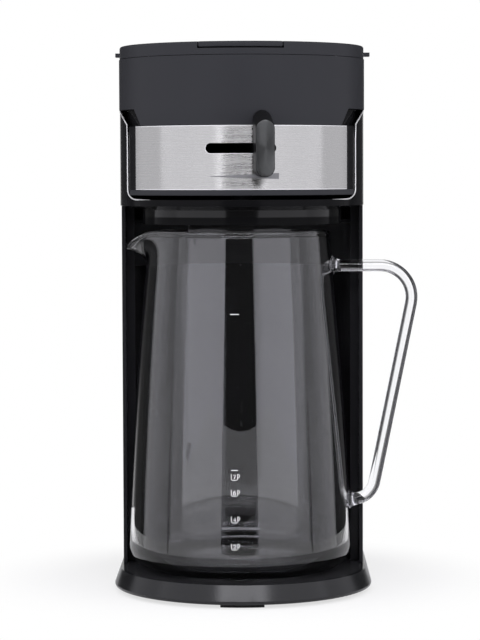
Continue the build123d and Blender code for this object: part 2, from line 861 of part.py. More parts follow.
# Basket drum: the black cylinder under the band, thicker in front where the fascia sits
with BuildPart() as basket_drum:
    with BuildSketch(Plane.XY.offset(fascia_bottom)):
        Circle(drum_radius)
    extrude(amount=plate_bottom - fascia_bottom)
    with BuildSketch(Plane.XY.offset(fascia_bottom)):
        add(sector(fascia_radius - fascia_thickness - slip_gap, strip_angle))
        add(sector(fascia_radius - slip_gap, strip_angle))
        add(sector(fascia_radius + cut_past, fascia_angle + slip_gap), mode=Mode.SUBTRACT)
        add(sector(fascia_radius - fascia_thickness - slip_gap, strip_angle))
    extrude(amount=fascia_top - fascia_bottom)
    with BuildSketch(Plane.XY.offset(fascia_bottom)):
        Circle(drum_inner_radius)
    extrude(amount=plate_bottom, mode=Mode.SUBTRACT)
    with BuildSketch(Plane.XZ):
        with Locations((0, lever_height)):
            SlotOverall(2 * (slot_half_length + slot_relief), slot_height + 2 * slot_relief)
    extrude(amount=body_half_width + cut_past, mode=Mode.SUBTRACT)

# Steel fascia with the lever's slot
with BuildPart() as steel_fascia:
    with BuildSketch(Plane.XY.offset(fascia_bottom)):
        add(sector(fascia_radius, fascia_angle))
        Circle(fascia_radius - fascia_thickness, mode=Mode.SUBTRACT)
    extrude(amount=fascia_top - fascia_bottom)
    with BuildSketch(Plane.XZ):
        with Locations((0, lever_height)):
            SlotOverall(2 * slot_half_length, slot_height)
    extrude(amount=body_half_width + cut_past, mode=Mode.SUBTRACT)

# Basket base: the lip below the fascia, the collector and the spout over the jug
lip_angle = degrees(asin(lip_half_width / fascia_radius))
with BuildPart() as basket_base:
    with BuildSketch(Plane.XY.offset(lip_bottom)):
        Circle(drum_radius)
        add(sector(fascia_radius, lip_angle))
    extrude(amount=lip_height)
    with BuildSketch(Plane.XY.offset(fascia_bottom)):
        Circle(collector_radius)
        Circle(collector_radius - collector_wall, mode=Mode.SUBTRACT)
    extrude(amount=collector_height)
    with BuildSketch(Plane.XY.offset(lip_bottom)):
        Circle(spout_radius)
    extrude(amount=-spout_drop)
    with BuildSketch(Plane.XY.offset(lip_bottom - spout_drop)):
        Circle(spout_bore)
    extrude(amount=spout_drop + lip_height, mode=Mode.SUBTRACT)

# Brewing cup hung by its flange on the band's plate, with the lever's pivot below its floor
hub_bottom = arm_bottom - hub_drop
clip_top = hub_bottom - slip_gap
pivot_bottom = clip_top - 2 * clip_thickness
with BuildPart() as brewing_cup:
    with BuildSketch(Plane.XY.offset(cup_floor_height)):
        Circle(cup_radius)
    extrude(amount=cup_top - cup_floor_height)
    with BuildSketch(Plane.XY.offset(plate_top)):
        Circle(cup_radius + cup_flange_width)
    extrude(amount=cup_flange_thickness)
    with BuildSketch(Plane.XY.offset(cup_floor_height + cup_wall)):
        Circle(cup_radius - cup_wall)
    extrude(amount=cup_top, mode=Mode.SUBTRACT)
    with BuildSketch(Plane.XY.offset(pivot_bottom)):
        Circle(pivot_radius)
    extrude(amount=cup_floor_height - pivot_bottom)
    with BuildSketch(Plane.XY.offset(cup_floor_height)):
        with PolarLocations(port_circle, port_count):
            Circle(port_radius)
    extrude(amount=cup_wall, mode=Mode.SUBTRACT)

with BuildPart() as pivot_clip:
    with BuildSketch(Plane.XY.offset(clip_top)):
        Circle(clip_radius)
        Circle(pivot_radius, mode=Mode.SUBTRACT)
    extrude(amount=-clip_thickness)

# Strength lever: the hub and its ported disc, the arm through the slot, the knob and its cap
with BuildPart() as valve_disc:
    with BuildSketch(Plane.XY.offset(disc_top - disc_thickness)):
        Circle(disc_radius)
        Circle(pivot_radius + running_gap, mode=Mode.SUBTRACT)
        with PolarLocations(port_circle, port_count):
            Circle(port_radius, mode=Mode.SUBTRACT)
    extrude(amount=disc_thickness)

lever_turn = radians(lever_rest_angle)
lever_plane = Plane((0, 0, arm_bottom), x_dir=(cos(lever_turn), sin(lever_turn), 0))
arm_reach = knob_back_radius + knob_depth / 2
with BuildPart() as lever_arm:
    with BuildSketch(Plane.XY.offset(hub_bottom)):
        Circle(hub_radius)
    extrude(amount=disc_top - disc_thickness - hub_bottom)
    with BuildSketch(lever_plane):
        Rectangle(arm_width, arm_reach, align=(Align.CENTER, Align.MAX))
    extrude(amount=arm_thickness)
    with BuildSketch(Plane.XY.offset(hub_bottom)):
        Circle(pivot_radius + running_gap)
    extrude(amount=disc_top, mode=Mode.SUBTRACT)


def knob_section(radius, top):
    """The knob's tall round-ended outline at a distance in front of the pivot."""
    origin = (radius * sin(lever_turn), -radius * cos(lever_turn), (top + knob_bottom) / 2)
    return Plane(
        origin, x_dir=(cos(lever_turn), sin(lever_turn), 0), z_dir=(sin(lever_turn), -cos(lever_turn), 0)
    )


with BuildPart() as lever_knob:
    with BuildSketch(knob_section(knob_back_radius, knob_back_top)):
        SlotOverall(knob_back_top - knob_bottom, knob_width, rotation=90)
    with BuildSketch(knob_section(knob_front_radius, knob_top)):
        SlotOverall(knob_top - knob_bottom, knob_width, rotation=90)
    loft(ruled=True)
    add(lever_arm.part, mode=Mode.SUBTRACT)

with BuildPart() as knob_cap:
    with BuildSketch(knob_section(knob_front_radius, knob_top)):
        SlotOverall(knob_top - knob_bottom - 2 * cap_inset, knob_width - 2 * cap_inset, rotation=90)
    extrude(amount=cap_thickness)

# Reusable filter: a frame of two rings and ribs, lined with mesh
filter_bottom = cup_floor_height + cup_wall + seat_gap
filter_top = bridge_bottom - 2 * seat_gap
frame_top_inner = filter_top_radius - filter_ring_width
frame_floor_inner = filter_floor_radius - filter_ring_width
with BuildPart() as filter_frame:
    with BuildSketch(Plane.XY.offset(filter_bottom)):
        Circle(filter_floor_radius)
        Circle(frame_floor_inner, mode=Mode.SUBTRACT)
    extrude(amount=filter_ring_height)
    with BuildSketch(Plane.XY.offset(filter_top)):
        Circle(filter_top_radius)
        Circle(frame_top_inner, mode=Mode.SUBTRACT)
    extrude(amount=-filter_ring_height)
    for turn in range(filter_rib_count):
        with BuildSketch(Plane.XZ.rotated((0, 0, turn * 360 / filter_rib_count))):
            with BuildLine():
                Polyline(
                    (filter_floor_radius - filter_rib_width, filter_bottom),
                    (filter_floor_radius, filter_bottom),
                    (filter_top_radius, filter_top),
                    (filter_top_radius - filter_rib_width, filter_top),
                    (filter_floor_radius - filter_rib_width, filter_bottom),
                )
            make_face()
        extrude(amount=filter_rib_width / 2, both=True)

filter_slope = (filter_top_radius - filter_floor_radius) / (filter_top - filter_bottom)
mesh_gap = filter_ring_width + filter_ring_height * filter_slope + slip_gap
with BuildPart() as filter_mesh:
    with BuildSketch(Plane.XZ):
        with BuildLine():
            Polyline(
                (0, filter_bottom),
                (filter_floor_radius - mesh_gap, filter_bottom),
                (filter_top_radius - mesh_gap, filter_top),
                (filter_top_radius - mesh_gap - mesh_thickness, filter_top),
                (filter_floor_radius - mesh_gap - mesh_thickness, filter_bottom + mesh_thickness),
                (0, filter_bottom + mesh_thickness),
                (0, filter_bottom),
            )
        make_face()
    revolve(axis=Axis.Z)

# Water bridge: a socket over the nozzle, a channel to the middle and a shower plate
bridge_plane = Plane((0, 0, bridge_bottom), x_dir=(riser_x, riser_y, 0), z_dir=(0, 0, 1))
socket_radius = nozzle_radius + socket_gap
socket_bottom = plate_top + slip_gap
with BuildPart() as water_bridge:
    with BuildSketch(bridge_plane):
        Circle(shower_radius)
        Rectangle(riser_reach, bridge_width, align=(Align.MIN, Align.CENTER))
        with Locations((riser_reach, 0)):
            Circle(socket_radius + socket_wall)
    extrude(amount=bridge_height)
    with BuildSketch(bridge_plane.offset(socket_bottom - bridge_bottom)):
        with Locations((riser_reach, 0)):
            Circle(socket_radius + socket_wall)
    extrude(amount=bridge_bottom - socket_bottom)
    with BuildSketch(bridge_plane.offset(channel_wall)):
        Circle(shower_radius - socket_wall)
        Rectangle(riser_reach, bridge_width - 2 * socket_wall, align=(Align.MIN, Align.CENTER))
    extrude(amount=bridge_height - 2 * channel_wall, mode=Mode.SUBTRACT)
    with BuildSketch(bridge_plane.offset(socket_bottom - bridge_bottom)):
        with Locations((riser_reach, 0)):
            Circle(socket_radius)
    extrude(amount=bridge_bottom + bridge_height - channel_wall - socket_bottom, mode=Mode.SUBTRACT)
    with BuildSketch(bridge_plane):
        with PolarLocations(shower_hole_circle, shower_hole_count):
            Circle(shower_hole_radius)
    extrude(amount=channel_wall, mode=Mode.SUBTRACT)

# Lid over the basket, its tab and its hinge pins
pin_start_x = hinge_ear_x - hinge_ear_width / 2 - hinge_pin_reach
tab_box = 2 * (tab_half_width + tab_gap)
tab_back = tab_depth - body_half_width
with BuildPart() as lid_shell:
    with BuildSketch(Plane.XY.offset(lid_bottom)):
        add(front_plan(0, hinge_y))
    extrude(amount=lid_top - lid_bottom)
    fillet(lid_shell.edges().group_by(Axis.Z)[-1].filter_by(Plane.XY).sort_by(Axis.Y)[0], lid_edge_round)
    with BuildSketch(Plane.YZ):
        with Locations((hinge_y, hinge_z)):
            Circle(lid_barrel_radius)
    extrude(amount=body_half_width, both=True)
    with BuildSketch(Plane.XY.offset(lid_bottom)):
        add(front_plan(lid_wall, hinge_y - lid_barrel_radius))
    extrude(amount=lid_top - lid_bottom - lid_plate, mode=Mode.SUBTRACT)
    with BuildSketch(Plane.XY.offset(lid_bottom)):
        with Locations((-hinge_ear_x, split_y), (hinge_ear_x, split_y)):
            Rectangle(
                hinge_ear_width + 2 * hinge_ear_gap,
                2 * lid_barrel_radius + hinge_ear_gap,
                align=(Align.CENTER, Align.MAX),
            )
    extrude(amount=lid_top, mode=Mode.SUBTRACT)
    with BuildSketch(Plane.YZ.offset(-body_half_width)):
        with Locations((hinge_y, hinge_z)):
            Circle(hinge_pin_radius + running_gap)
    extrude(amount=body_half_width - pin_start_x, mode=Mode.SUBTRACT)
    with BuildSketch(Plane.YZ.offset(body_half_width)):
        with Locations((hinge_y, hinge_z)):
            Circle(hinge_pin_radius + running_gap)
    extrude(amount=pin_start_x - body_half_width, mode=Mode.SUBTRACT)
    with BuildSketch(Plane.XY.offset(lid_top - tab_height - tab_gap)):
        with Locations((0, tab_back)):
            Rectangle(tab_box, 2 * tab_depth, align=(Align.CENTER, Align.MAX))
    extrude(amount=lid_top, mode=Mode.SUBTRACT)

with BuildPart() as lid_tab:
    with BuildSketch(Plane.XY.offset(lid_top - tab_height)):
        add(front_plan(0, hinge_y))
        with Locations((0, tab_back - tab_gap)):
            Rectangle(
                2 * tab_half_width, 2 * tab_depth, align=(Align.CENTER, Align.MAX), mode=Mode.INTERSECT
            )
    extrude(amount=tab_height)

with BuildPart() as lid_hinge_pins:
    for side in (-1, 1):
        with BuildSketch(Plane.YZ.offset(side * (pin_start_x + slip_gap))):
            with Locations((hinge_y, hinge_z)):
                Circle(hinge_pin_radius)
        extrude(amount=side * (hinge_ear_width + 2 * hinge_pin_reach))

# Lid over the tank, with a plug rim inside the collar and a finger lug at each side
plug_inset = band_inset + seat_gap
plug_front = rear_front + band_wall + seat_gap
with BuildPart() as tank_lid:
    with BuildSketch(Plane.XY.offset(lid_bottom)):
        add(rear_body_plan(0, rear_front))
    extrude(amount=lid_top - lid_bottom)
    with BuildSketch(Plane.XY.offset(lid_bottom - tank_lid_plug_depth)):
        add(rear_body_plan(plug_inset, plug_front))
    extrude(amount=tank_lid_plug_depth)
    with BuildSketch(Plane.XY.offset(lid_bottom - tank_lid_plug_depth)):
        add(rear_body_plan(plug_inset + lid_wall, plug_front + lid_wall))
    extrude(amount=tank_lid_plug_depth + lid_top - lid_bottom - lid_plate, mode=Mode.SUBTRACT)
    with BuildSketch(Plane.XY.offset(lid_top - lug_thickness)):
        with Locations((0, rear_front + lug_setback)):
            Rectangle(2 * (body_half_width + lug_reach), lug_length, align=(Align.CENTER, Align.MIN))
            Rectangle(2 * body_half_width, lug_length, align=(Align.CENTER, Align.MIN), mode=Mode.SUBTRACT)
    extrude(amount=lug_thickness)

# Jug
jug_plane = Plane((jug_shift, 0, 0), x_dir=(1, 0, 0), z_dir=(0, -1, 0))


def jug_solid(wall, floor, top):
    """The jug's round body drawn in by wall, from its floor up to top."""
    bottom = jug_bottom + floor
    rim_slope = (jug_shoulder_radius - jug_rim_radius) / (jug_rim_height - jug_shoulder_height)
    top_radius = jug_rim_radius - (top - jug_rim_height) * rim_slope
    with BuildPart() as body:
        with BuildSketch(jug_plane):
            with BuildLine():
                Polyline((0, top), (0, bottom), (jug_belly_radius - wall, bottom))
                Line((jug_belly_radius - wall, bottom), (jug_belly_radius - wall, jug_belly_height))
                ThreePointArc(
                    (jug_belly_radius - wall, jug_belly_height),
                    (jug_middle_radius - wall, jug_middle_height),
                    (jug_shoulder_radius - wall, jug_shoulder_height),
                )
                Polyline(
                    (jug_shoulder_radius - wall, jug_shoulder_height), (top_radius - wall, top), (0, top)
                )
            make_face()
        revolve(axis=Axis((jug_shift, 0, 0), (0, 0, 1)))
        fillet(body.edges().group_by(Axis.Z)[0], jug_corner_radius - wall)
    return body.part


def spout_plan(inset, reach):
    """The jug's mouth drawn out to the left into a round-nosed spout."""
    tip = spout_tip_radius - inset
    mouth = jug_rim_radius - inset
    nose = -(reach - inset - tip)
    lean = acos((mouth - tip) / -nose)
    touch = (cos(lean), sin(lean))
    with BuildSketch(Plane.XY) as plan:
        with BuildLine():
            upper = ((jug_shift - mouth * touch[0]), mouth * touch[1])
            lower = ((jug_shift - mouth * touch[0]), -mouth * touch[1])
            nose_upper = (jug_shift + nose - tip * touch[0], tip * touch[1])
            nose_lower = (jug_shift + nose - tip * touch[0], -tip * touch[1])
            ThreePointArc(upper, (jug_shift + mouth, 0), lower)
            Line(lower, nose_lower)
            ThreePointArc(nose_lower, (jug_shift + nose - tip, 0), nose_upper)
            Line(nose_upper, upper)
        make_face()
    return plan.sketch


def spout_solid(inset, lift, top):
    """The pulled-out lip, from its root on the wall up to top."""
    with BuildPart() as lip:
        with BuildSketch(Plane.XY.offset(spout_root_height + lift)):
            add(spout_plan(inset, jug_rim_radius + slip_gap))
        with BuildSketch(Plane.XY.offset(spout_lip_height + lift)):
            add(spout_plan(inset, spout_reach))
        loft(ruled=True)
        with BuildSketch(Plane.XY.offset(spout_lip_height + lift)):
            add(spout_plan(inset, spout_reach))
        extrude(amount=top - spout_lip_height - lift)
    return lip.part


# Jug's glass, with the lip cut down to a curl at the left
lip_cut_x = spout_reach + cut_past
with BuildPart() as jug_body:
    add(jug_solid(0, 0, jug_rim_height))
    add(spout_solid(0, 0, jug_rim_height))
    add(jug_solid(jug_wall, jug_floor, jug_rim_height + cut_past), mode=Mode.SUBTRACT)
    add(spout_solid(jug_wall, jug_wall, jug_rim_height + cut_past), mode=Mode.SUBTRACT)
    with BuildSketch(jug_plane):
        with BuildLine():
            ThreePointArc(
                (-spout_curl_start, jug_rim_height),
                (spout_curl_middle - spout_reach, jug_rim_height - spout_curl_sag),
                (-lip_cut_x, spout_lip_height - spout_curl_drop),
            )
            Polyline(
                (-lip_cut_x, spout_lip_height - spout_curl_drop),
                (-lip_cut_x, jug_rim_height + cut_past),
                (-spout_curl_start, jug_rim_height + cut_past),
                (-spout_curl_start, jug_rim_height),
            )
        make_face()
    extrude(amount=body_half_width, both=True, mode=Mode.SUBTRACT)

with BuildPart() as jug_handle:
    with BuildLine(jug_plane) as handle_path:
        FilletPolyline(
            (jug_rim_radius - jug_wall, handle_top_height),
            (handle_top_corner, handle_top_height),
            (handle_low_corner, handle_low_height),
            (jug_middle_radius - jug_wall, handle_low_height - handle_root_drop),
            radius=[handle_top_bend, handle_low_bend],
        )
    with BuildSketch(Plane((jug_shift + jug_rim_radius - jug_wall, 0, handle_top_height), z_dir=(1, 0, 0))):
        Circle(handle_rod_radius)
    sweep(path=handle_path.line)
    for flare_x, flare_z in (
        (jug_shoulder_radius - handle_flare_sink, handle_top_height),
        (jug_belly_radius - handle_flare_sink, handle_low_height - handle_root_drop / 2),
    ):
        with BuildSketch(Plane((jug_shift + flare_x, 0, flare_z), z_dir=(1, 0, 0))):
            Circle(handle_flare_radius)
        with BuildSketch(Plane((jug_shift + flare_x + handle_flare_length, 0, flare_z), z_dir=(1, 0, 0))):
            Circle(handle_rod_radius)
        loft()
    add(jug_solid(0, 0, jug_rim_height), mode=Mode.SUBTRACT)

pieces = {
    "base_rim": base_rim,
    "base_deck": base_deck,
    "bottom_cover": bottom_cover,
    "base_screws": base_screws,
    "feet": feet,
    "housing": housing,
    "bay_wall": bay_wall,
    "head_tray": head_tray,
    "rear_collar": rear_collar,
    "water_tank": water_tank,
    "tank_platform": tank_platform,
    "check_valve": check_valve,
    "boiler": boiler,
    "element_pins": element_pins,
    "boiler_clamp": boiler_clamp,
    "thermostat": thermostat,
    "thermal_fuse": thermal_fuse,
    "terminal_block": terminal_block,
    "feed_hose": feed_hose,
    "riser_tube": riser_tube,
    "riser_nozzle": riser_nozzle,
    "switch_bezel": switch_bezel,
    "switch_rocker": switch_rocker,
    "cord_gland": cord_gland,
    "basket_band": basket_band,
    "basket_drum": basket_drum,
    "steel_fascia": steel_fascia,
    "basket_base": basket_base,
    "brewing_cup": brewing_cup,
    "pivot_clip": pivot_clip,
    "valve_disc": valve_disc,
    "lever_arm": lever_arm,
    "lever_knob": lever_knob,
    "knob_cap": knob_cap,
    "filter_frame": filter_frame,
    "filter_mesh": filter_mesh,
    "water_bridge": water_bridge,
    "lid_shell": lid_shell,
    "lid_tab": lid_tab,
    "lid_hinge_pins": lid_hinge_pins,
    "tank_lid": tank_lid,
    "jug_body": jug_body,
    "jug_handle": jug_handle,
}
os.makedirs("parts", exist_ok=True)
for name, piece in pieces.items():
    piece.part.label = name
    export_step(piece.part, f"parts/{name}.step")
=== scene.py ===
# %% [markdown]
# # An iced coffee maker
#
# A tall drip machine in satin and gloss black plastic, with a steel panel
# and a glass jug. The measured model is loaded as a fixed frame of named
# nodes, and this lesson gives each one its finish, rounds the edges that
# catch the light, and makes the glass, the knob's cap and the marks anew.

# %% Load the frame
from math import acos, atan2, cos, pi, radians, sin, sqrt

import bmesh
import bpy
from mathutils import Matrix, Vector


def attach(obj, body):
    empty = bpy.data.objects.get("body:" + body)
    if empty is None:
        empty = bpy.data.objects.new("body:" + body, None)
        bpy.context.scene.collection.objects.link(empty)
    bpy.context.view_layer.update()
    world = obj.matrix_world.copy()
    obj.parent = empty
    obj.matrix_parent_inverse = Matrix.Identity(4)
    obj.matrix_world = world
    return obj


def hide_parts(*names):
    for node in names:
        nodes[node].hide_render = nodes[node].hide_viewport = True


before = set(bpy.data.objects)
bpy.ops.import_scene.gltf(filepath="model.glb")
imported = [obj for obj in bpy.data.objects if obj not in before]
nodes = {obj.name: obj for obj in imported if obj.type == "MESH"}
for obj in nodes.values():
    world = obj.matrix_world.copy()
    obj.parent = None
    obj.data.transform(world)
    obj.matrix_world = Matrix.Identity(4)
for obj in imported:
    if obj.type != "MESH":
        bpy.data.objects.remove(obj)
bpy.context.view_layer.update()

# %% [markdown]
# ## Camera
#
# The picture was taken from far away with a long lens, at about three
# quarters of the machine's height and almost straight on. A long lens
# keeps the sides of the body upright, so a distant camera with a narrow
# view is used here rather than a near one.

# %% Camera
camera_data = bpy.data.cameras.new("camera")
camera_data.lens = 139.5
camera_data.sensor_width = 36.0
camera = bpy.data.objects.new("camera", camera_data)
bpy.context.scene.collection.objects.link(camera)
bpy.context.scene.camera = camera

camera_turn = radians(0.5)
camera_tilt = radians(3.34)
camera_roll = radians(0.2)
camera_place = (0.01224, -1.5749, 0.2634)
forward = Vector((
    -sin(camera_turn) * cos(camera_tilt), cos(camera_turn) * cos(camera_tilt), -sin(camera_tilt),
))
level_right = forward.cross(Vector((0, 0, 1))).normalized()
level_up = level_right.cross(forward)
right = level_right * cos(camera_roll) - level_up * sin(camera_roll)
up = level_up * cos(camera_roll) + level_right * sin(camera_roll)
camera.matrix_world = Matrix((
    (right.x, up.x, -forward.x, camera_place[0]),
    (right.y, up.y, -forward.y, camera_place[1]),
    (right.z, up.z, -forward.z, camera_place[2]),
    (0, 0, 0, 1),
))
print("camera looks along", [round(v, 3) for v in forward])

# %% [markdown]
# ## Floor, backdrop and light
#
# Glossy black shows hardly any colour of its own. What it shows is the
# studio, so the studio is built before any finish. The white behind the
# object is only in the world's colour, so it adds no light to the object.
# The table is small, or the black column would mirror it, and away from
# the object it fades to the white of the backdrop, so that only the shadow
# round the machine is left. Under the machine it keeps part of its own
# tone, because a floor that only glows would take no shadow.

# %% Floor
def new_material(name):
    """A node material with nothing but its output, and its tree of nodes."""
    material = bpy.data.materials.new(name)
    material.use_nodes = True
    tree = material.node_tree
    tree.nodes.clear()
    tree.nodes.new("ShaderNodeOutputMaterial")
    return material, tree


def wire(tree, out_node, out_name, in_node, in_name):
    """Join an output to an input by their names or numbers."""
    tree.links.new(out_node.outputs[out_name], in_node.inputs[in_name])


scene = bpy.context.scene
scene.view_settings.view_transform = "Standard"

table_front, table_back, table_side = -0.36, 0.40, 0.29
shadow_centre = (0, 0.04, 0)
shadow_reach, white_from = 0.10, 0.19
glow_by_machine = 0.68
floor_mesh = bpy.data.meshes.new("floor")
floor_mesh.from_pydata(
    [(-table_side, table_front, 0), (table_side, table_front, 0), (table_side, table_back, 0),
     (-table_side, table_back, 0)], [], [(0, 1, 2, 3)])
floor = bpy.data.objects.new("floor", floor_mesh)
scene.collection.objects.link(floor)
floor_paint, tree = new_material("pale floor")
paper = tree.nodes.new("ShaderNodeBsdfPrincipled")
paper.inputs["Base Color"].default_value = (0.86, 0.86, 0.86, 1)
paper.inputs["Roughness"].default_value = 0.9
paper.inputs["Specular IOR Level"].default_value = 0.0
glow = tree.nodes.new("ShaderNodeEmission")
where = tree.nodes.new("ShaderNodeTexCoord")
from_middle = tree.nodes.new("ShaderNodeVectorMath")
from_middle.operation = "DISTANCE"
from_middle.inputs[1].default_value = shadow_centre
wire(tree, where, "Object", from_middle, 0)
fade = tree.nodes.new("ShaderNodeMapRange")
fade.interpolation_type = "SMOOTHSTEP"
fade.inputs["From Min"].default_value = shadow_reach
fade.inputs["From Max"].default_value = white_from
fade.inputs["To Min"].default_value = glow_by_machine
wire(tree, from_middle, "Value", fade, "Value")
ray = tree.nodes.new("ShaderNodeLightPath")
seen = tree.nodes.new("ShaderNodeMath")
seen.operation = "MAXIMUM"
wire(tree, ray, "Is Camera Ray", seen, 0)
wire(tree, ray, "Is Transmission Ray", seen, 1)
share = tree.nodes.new("ShaderNodeMath")
share.operation = "MULTIPLY"
wire(tree, seen, 0, share, 0)
wire(tree, fade, "Result", share, 1)
blend = tree.nodes.new("ShaderNodeMixShader")
wire(tree, share, 0, blend, "Fac")
wire(tree, paper, 0, blend, 1)
wire(tree, glow, 0, blend, 2)
wire(tree, blend, 0, tree.nodes["Material Output"], "Surface")
floor_mesh.materials.append(floor_paint)
print("the table ends", -table_front, "m in front of the machine's axis")

# %% [markdown]
# The world is white to the camera. To a glossy or clear surface it is
# white only in a card behind the object and dark at the sides, as when a
# photographer stands black cards beside black plastic to keep its edges
# from fading into the background.

# %% World
world = bpy.data.worlds.new("studio")
scene.world = world
world.use_nodes = True
tree = world.node_tree
tree.nodes.clear()
world_out = tree.nodes.new("ShaderNodeOutputWorld")
path = tree.nodes.new("ShaderNodeLightPath")
place = tree.nodes.new("ShaderNodeTexCoord")
split = tree.nodes.new("ShaderNodeSeparateXYZ")
wire(tree, place, "Generated", split, "Vector")


def card(low, high, beside):
    """1 where the direction's Y is above high, beside where it is below low, smooth between."""
    ramp = tree.nodes.new("ShaderNodeMapRange")
    ramp.interpolation_type = "SMOOTHSTEP"
    ramp.inputs["From Min"].default_value = low
    ramp.inputs["From Max"].default_value = high
    ramp.inputs["To Min"].default_value = beside
    wire(tree, split, "Y", ramp, "Value")
    return ramp


def world_light(strength_socket=None, strength=1.0):
    """A background shader of a plain or a computed strength."""
    light = tree.nodes.new("ShaderNodeBackground")
    light.inputs["Color"].default_value = (1, 1, 1, 1)
    light.inputs["Strength"].default_value = strength
    if strength_socket is not None:
        tree.links.new(strength_socket, light.inputs["Strength"])
    return light


def choose(factor_socket, first, second):
    """Mix two shaders by a socket: first where it is 0 and second where it is 1."""
    mix = tree.nodes.new("ShaderNodeMixShader")
    tree.links.new(factor_socket, mix.inputs["Fac"])
    tree.links.new(first.outputs[0], mix.inputs[1])
    tree.links.new(second.outputs[0], mix.inputs[2])
    return mix


ambient = world_light(strength=0.42)
gloss_card = card(0.955, 0.985, beside=0.06)
clear_card = card(0.88, 0.975, beside=0.03)
lit = choose(path.outputs["Is Glossy Ray"], ambient, world_light(gloss_card.outputs[0]))
lit = choose(path.outputs["Is Transmission Ray"], lit, world_light(clear_card.outputs[0]))
lit = choose(path.outputs["Is Camera Ray"], lit, world_light(strength=1.0))
wire(tree, lit, 0, world_out, "Surface")
print("world nodes:", len(tree.nodes))

# %% [markdown]
# Two tall soft boxes stand on each side, one ahead of the machine and one
# beside it, with a dark gap between the front pair where the camera is.
# That gap is the black strip down the middle of the steel, the jug and the
# wall behind it. A low wide box above the camera lights the slanted face
# of the base rim, and one overhead lights the lids. The light is a little
# cool, which shows in the greys of the wall behind the glass.

# %% Soft boxes
cool_white = (0.99, 0.985, 1.04)


def soft_box(name, azimuth, elevation, distance, width, height, brightness, aim=(0, 0, 0.18)):
    """An area light of even brightness that faces the object from a direction."""
    data = bpy.data.lights.new(name, "AREA")
    data.shape = "RECTANGLE"
    data.size = width
    data.size_y = height
    data.energy = brightness * pi * width * height
    data.color = cool_white
    lamp = bpy.data.objects.new(name, data)
    scene.collection.objects.link(lamp)
    turn, rise = radians(azimuth), radians(elevation)
    back = Vector((sin(turn) * cos(rise), -cos(turn) * cos(rise), sin(rise)))
    lamp.location = Vector(aim) + back * distance
    lamp.rotation_mode = "QUATERNION"
    lamp.rotation_quaternion = (-back).to_track_quat("-Z", "Y")
    lamp.visible_camera = False
    print(name, "energy", round(data.energy, 2))
    return lamp


for side, name in ((-1, "left"), (1, "right")):
    soft_box(name + "_front_box", azimuth=side * 48, elevation=14, distance=1.15, width=1.38,
             height=1.7, brightness=1.06)
    soft_box(name + "_side_box", azimuth=side * 98, elevation=14, distance=1.15, width=0.85,
             height=1.7, brightness=0.76)
soft_box("front_box", azimuth=0, elevation=29, distance=1.6, width=1.2, height=0.45, brightness=5.0)
soft_box("top_box", azimuth=0, elevation=90, distance=1.5, width=1.6, height=1.6, brightness=0.9,
         aim=(0, 0.1, 0.18))

# %% [markdown]
# ## Plastics
#
# The band, the lids and the base rim are satin plastic with the fine grain
# of a spark-eroded mould. The housing is polished black. Both are one
# recipe: a colour, a fine grain in the bump, and a roughness that drifts a
# little over the surface, as on every moulding that has been handled.
#
# The picture shows some mouldings in two tones. The wall behind the jug
# looks polished up to a line and matt above it, the tray under the head is
# glossy only near its top, and the housing is deep black in front and a
# shade lighter on the walls beside the jug. One picture can't tell whether
# the mould or the light makes the first two borders. Here the finish makes
# them, and it is a guess: the recipe can change along one axis of the
# machine, by a node that reads the coordinate. The housing's lighter walls
# are painted light, made by the same kind of node: the colour is raised
# behind the front to stand in for the light those walls show. Splitting the
# mesh would do the same, but the measured meshes are not to be cut.
#
# The colours and the strength of the reflections were fitted to the greys
# of the picture in this studio. For the housing, the basket's drum, the
# tray, the knob and the satin grey that strength came out below the 0.5 of
# a common plastic, and far below it for the housing. Under another light
# they may look duller than the real ones.

# %% Plastic finishes
def noise(tree, coordinates, scale, detail=3.0, stretch=None):
    """A noise texture at so many bumps per metre, drawn out by stretch."""
    texture = tree.nodes.new("ShaderNodeTexNoise")
    texture.inputs["Scale"].default_value = scale
    texture.inputs["Detail"].default_value = detail
    if stretch is None:
        wire(tree, coordinates, "Object", texture, "Vector")
    else:
        squeeze = tree.nodes.new("ShaderNodeVectorMath")
        squeeze.operation = "MULTIPLY"
        squeeze.inputs[1].default_value = stretch
        wire(tree, coordinates, "Object", squeeze, 0)
        wire(tree, squeeze, 0, texture, "Vector")
    return texture


def spread(tree, source, low, high):
    """Map a texture's middle range to low and high."""
    ramp = tree.nodes.new("ShaderNodeMapRange")
    ramp.inputs["From Min"].default_value = 0.3
    ramp.inputs["From Max"].default_value = 0.7
    ramp.inputs["To Min"].default_value = low
    ramp.inputs["To Max"].default_value = high
    tree.links.new(source, ramp.inputs["Value"])
    return ramp


def along_axis(tree, coordinates, axis, start, end, low, high):
    """A value that goes from low to high while a coordinate goes from start to end."""
    place = tree.nodes.new("ShaderNodeSeparateXYZ")
    wire(tree, coordinates, "Object", place, "Vector")
    change = tree.nodes.new("ShaderNodeMapRange")
    change.inputs["From Min"].default_value = start
    change.inputs["From Max"].default_value = end
    change.inputs["To Min"].default_value = low
    change.inputs["To Max"].default_value = high
    wire(tree, place, axis, change, "Value")
    return change


matt_edge, matt_added = 0.0006, 0.6
gloss_edge, dull_level = 0.0008, 0.04
# Painted light on the housing: the run over which its colour rises, and the factor it rises by.
painted_light_run, painted_light_times = 0.06, 3.3


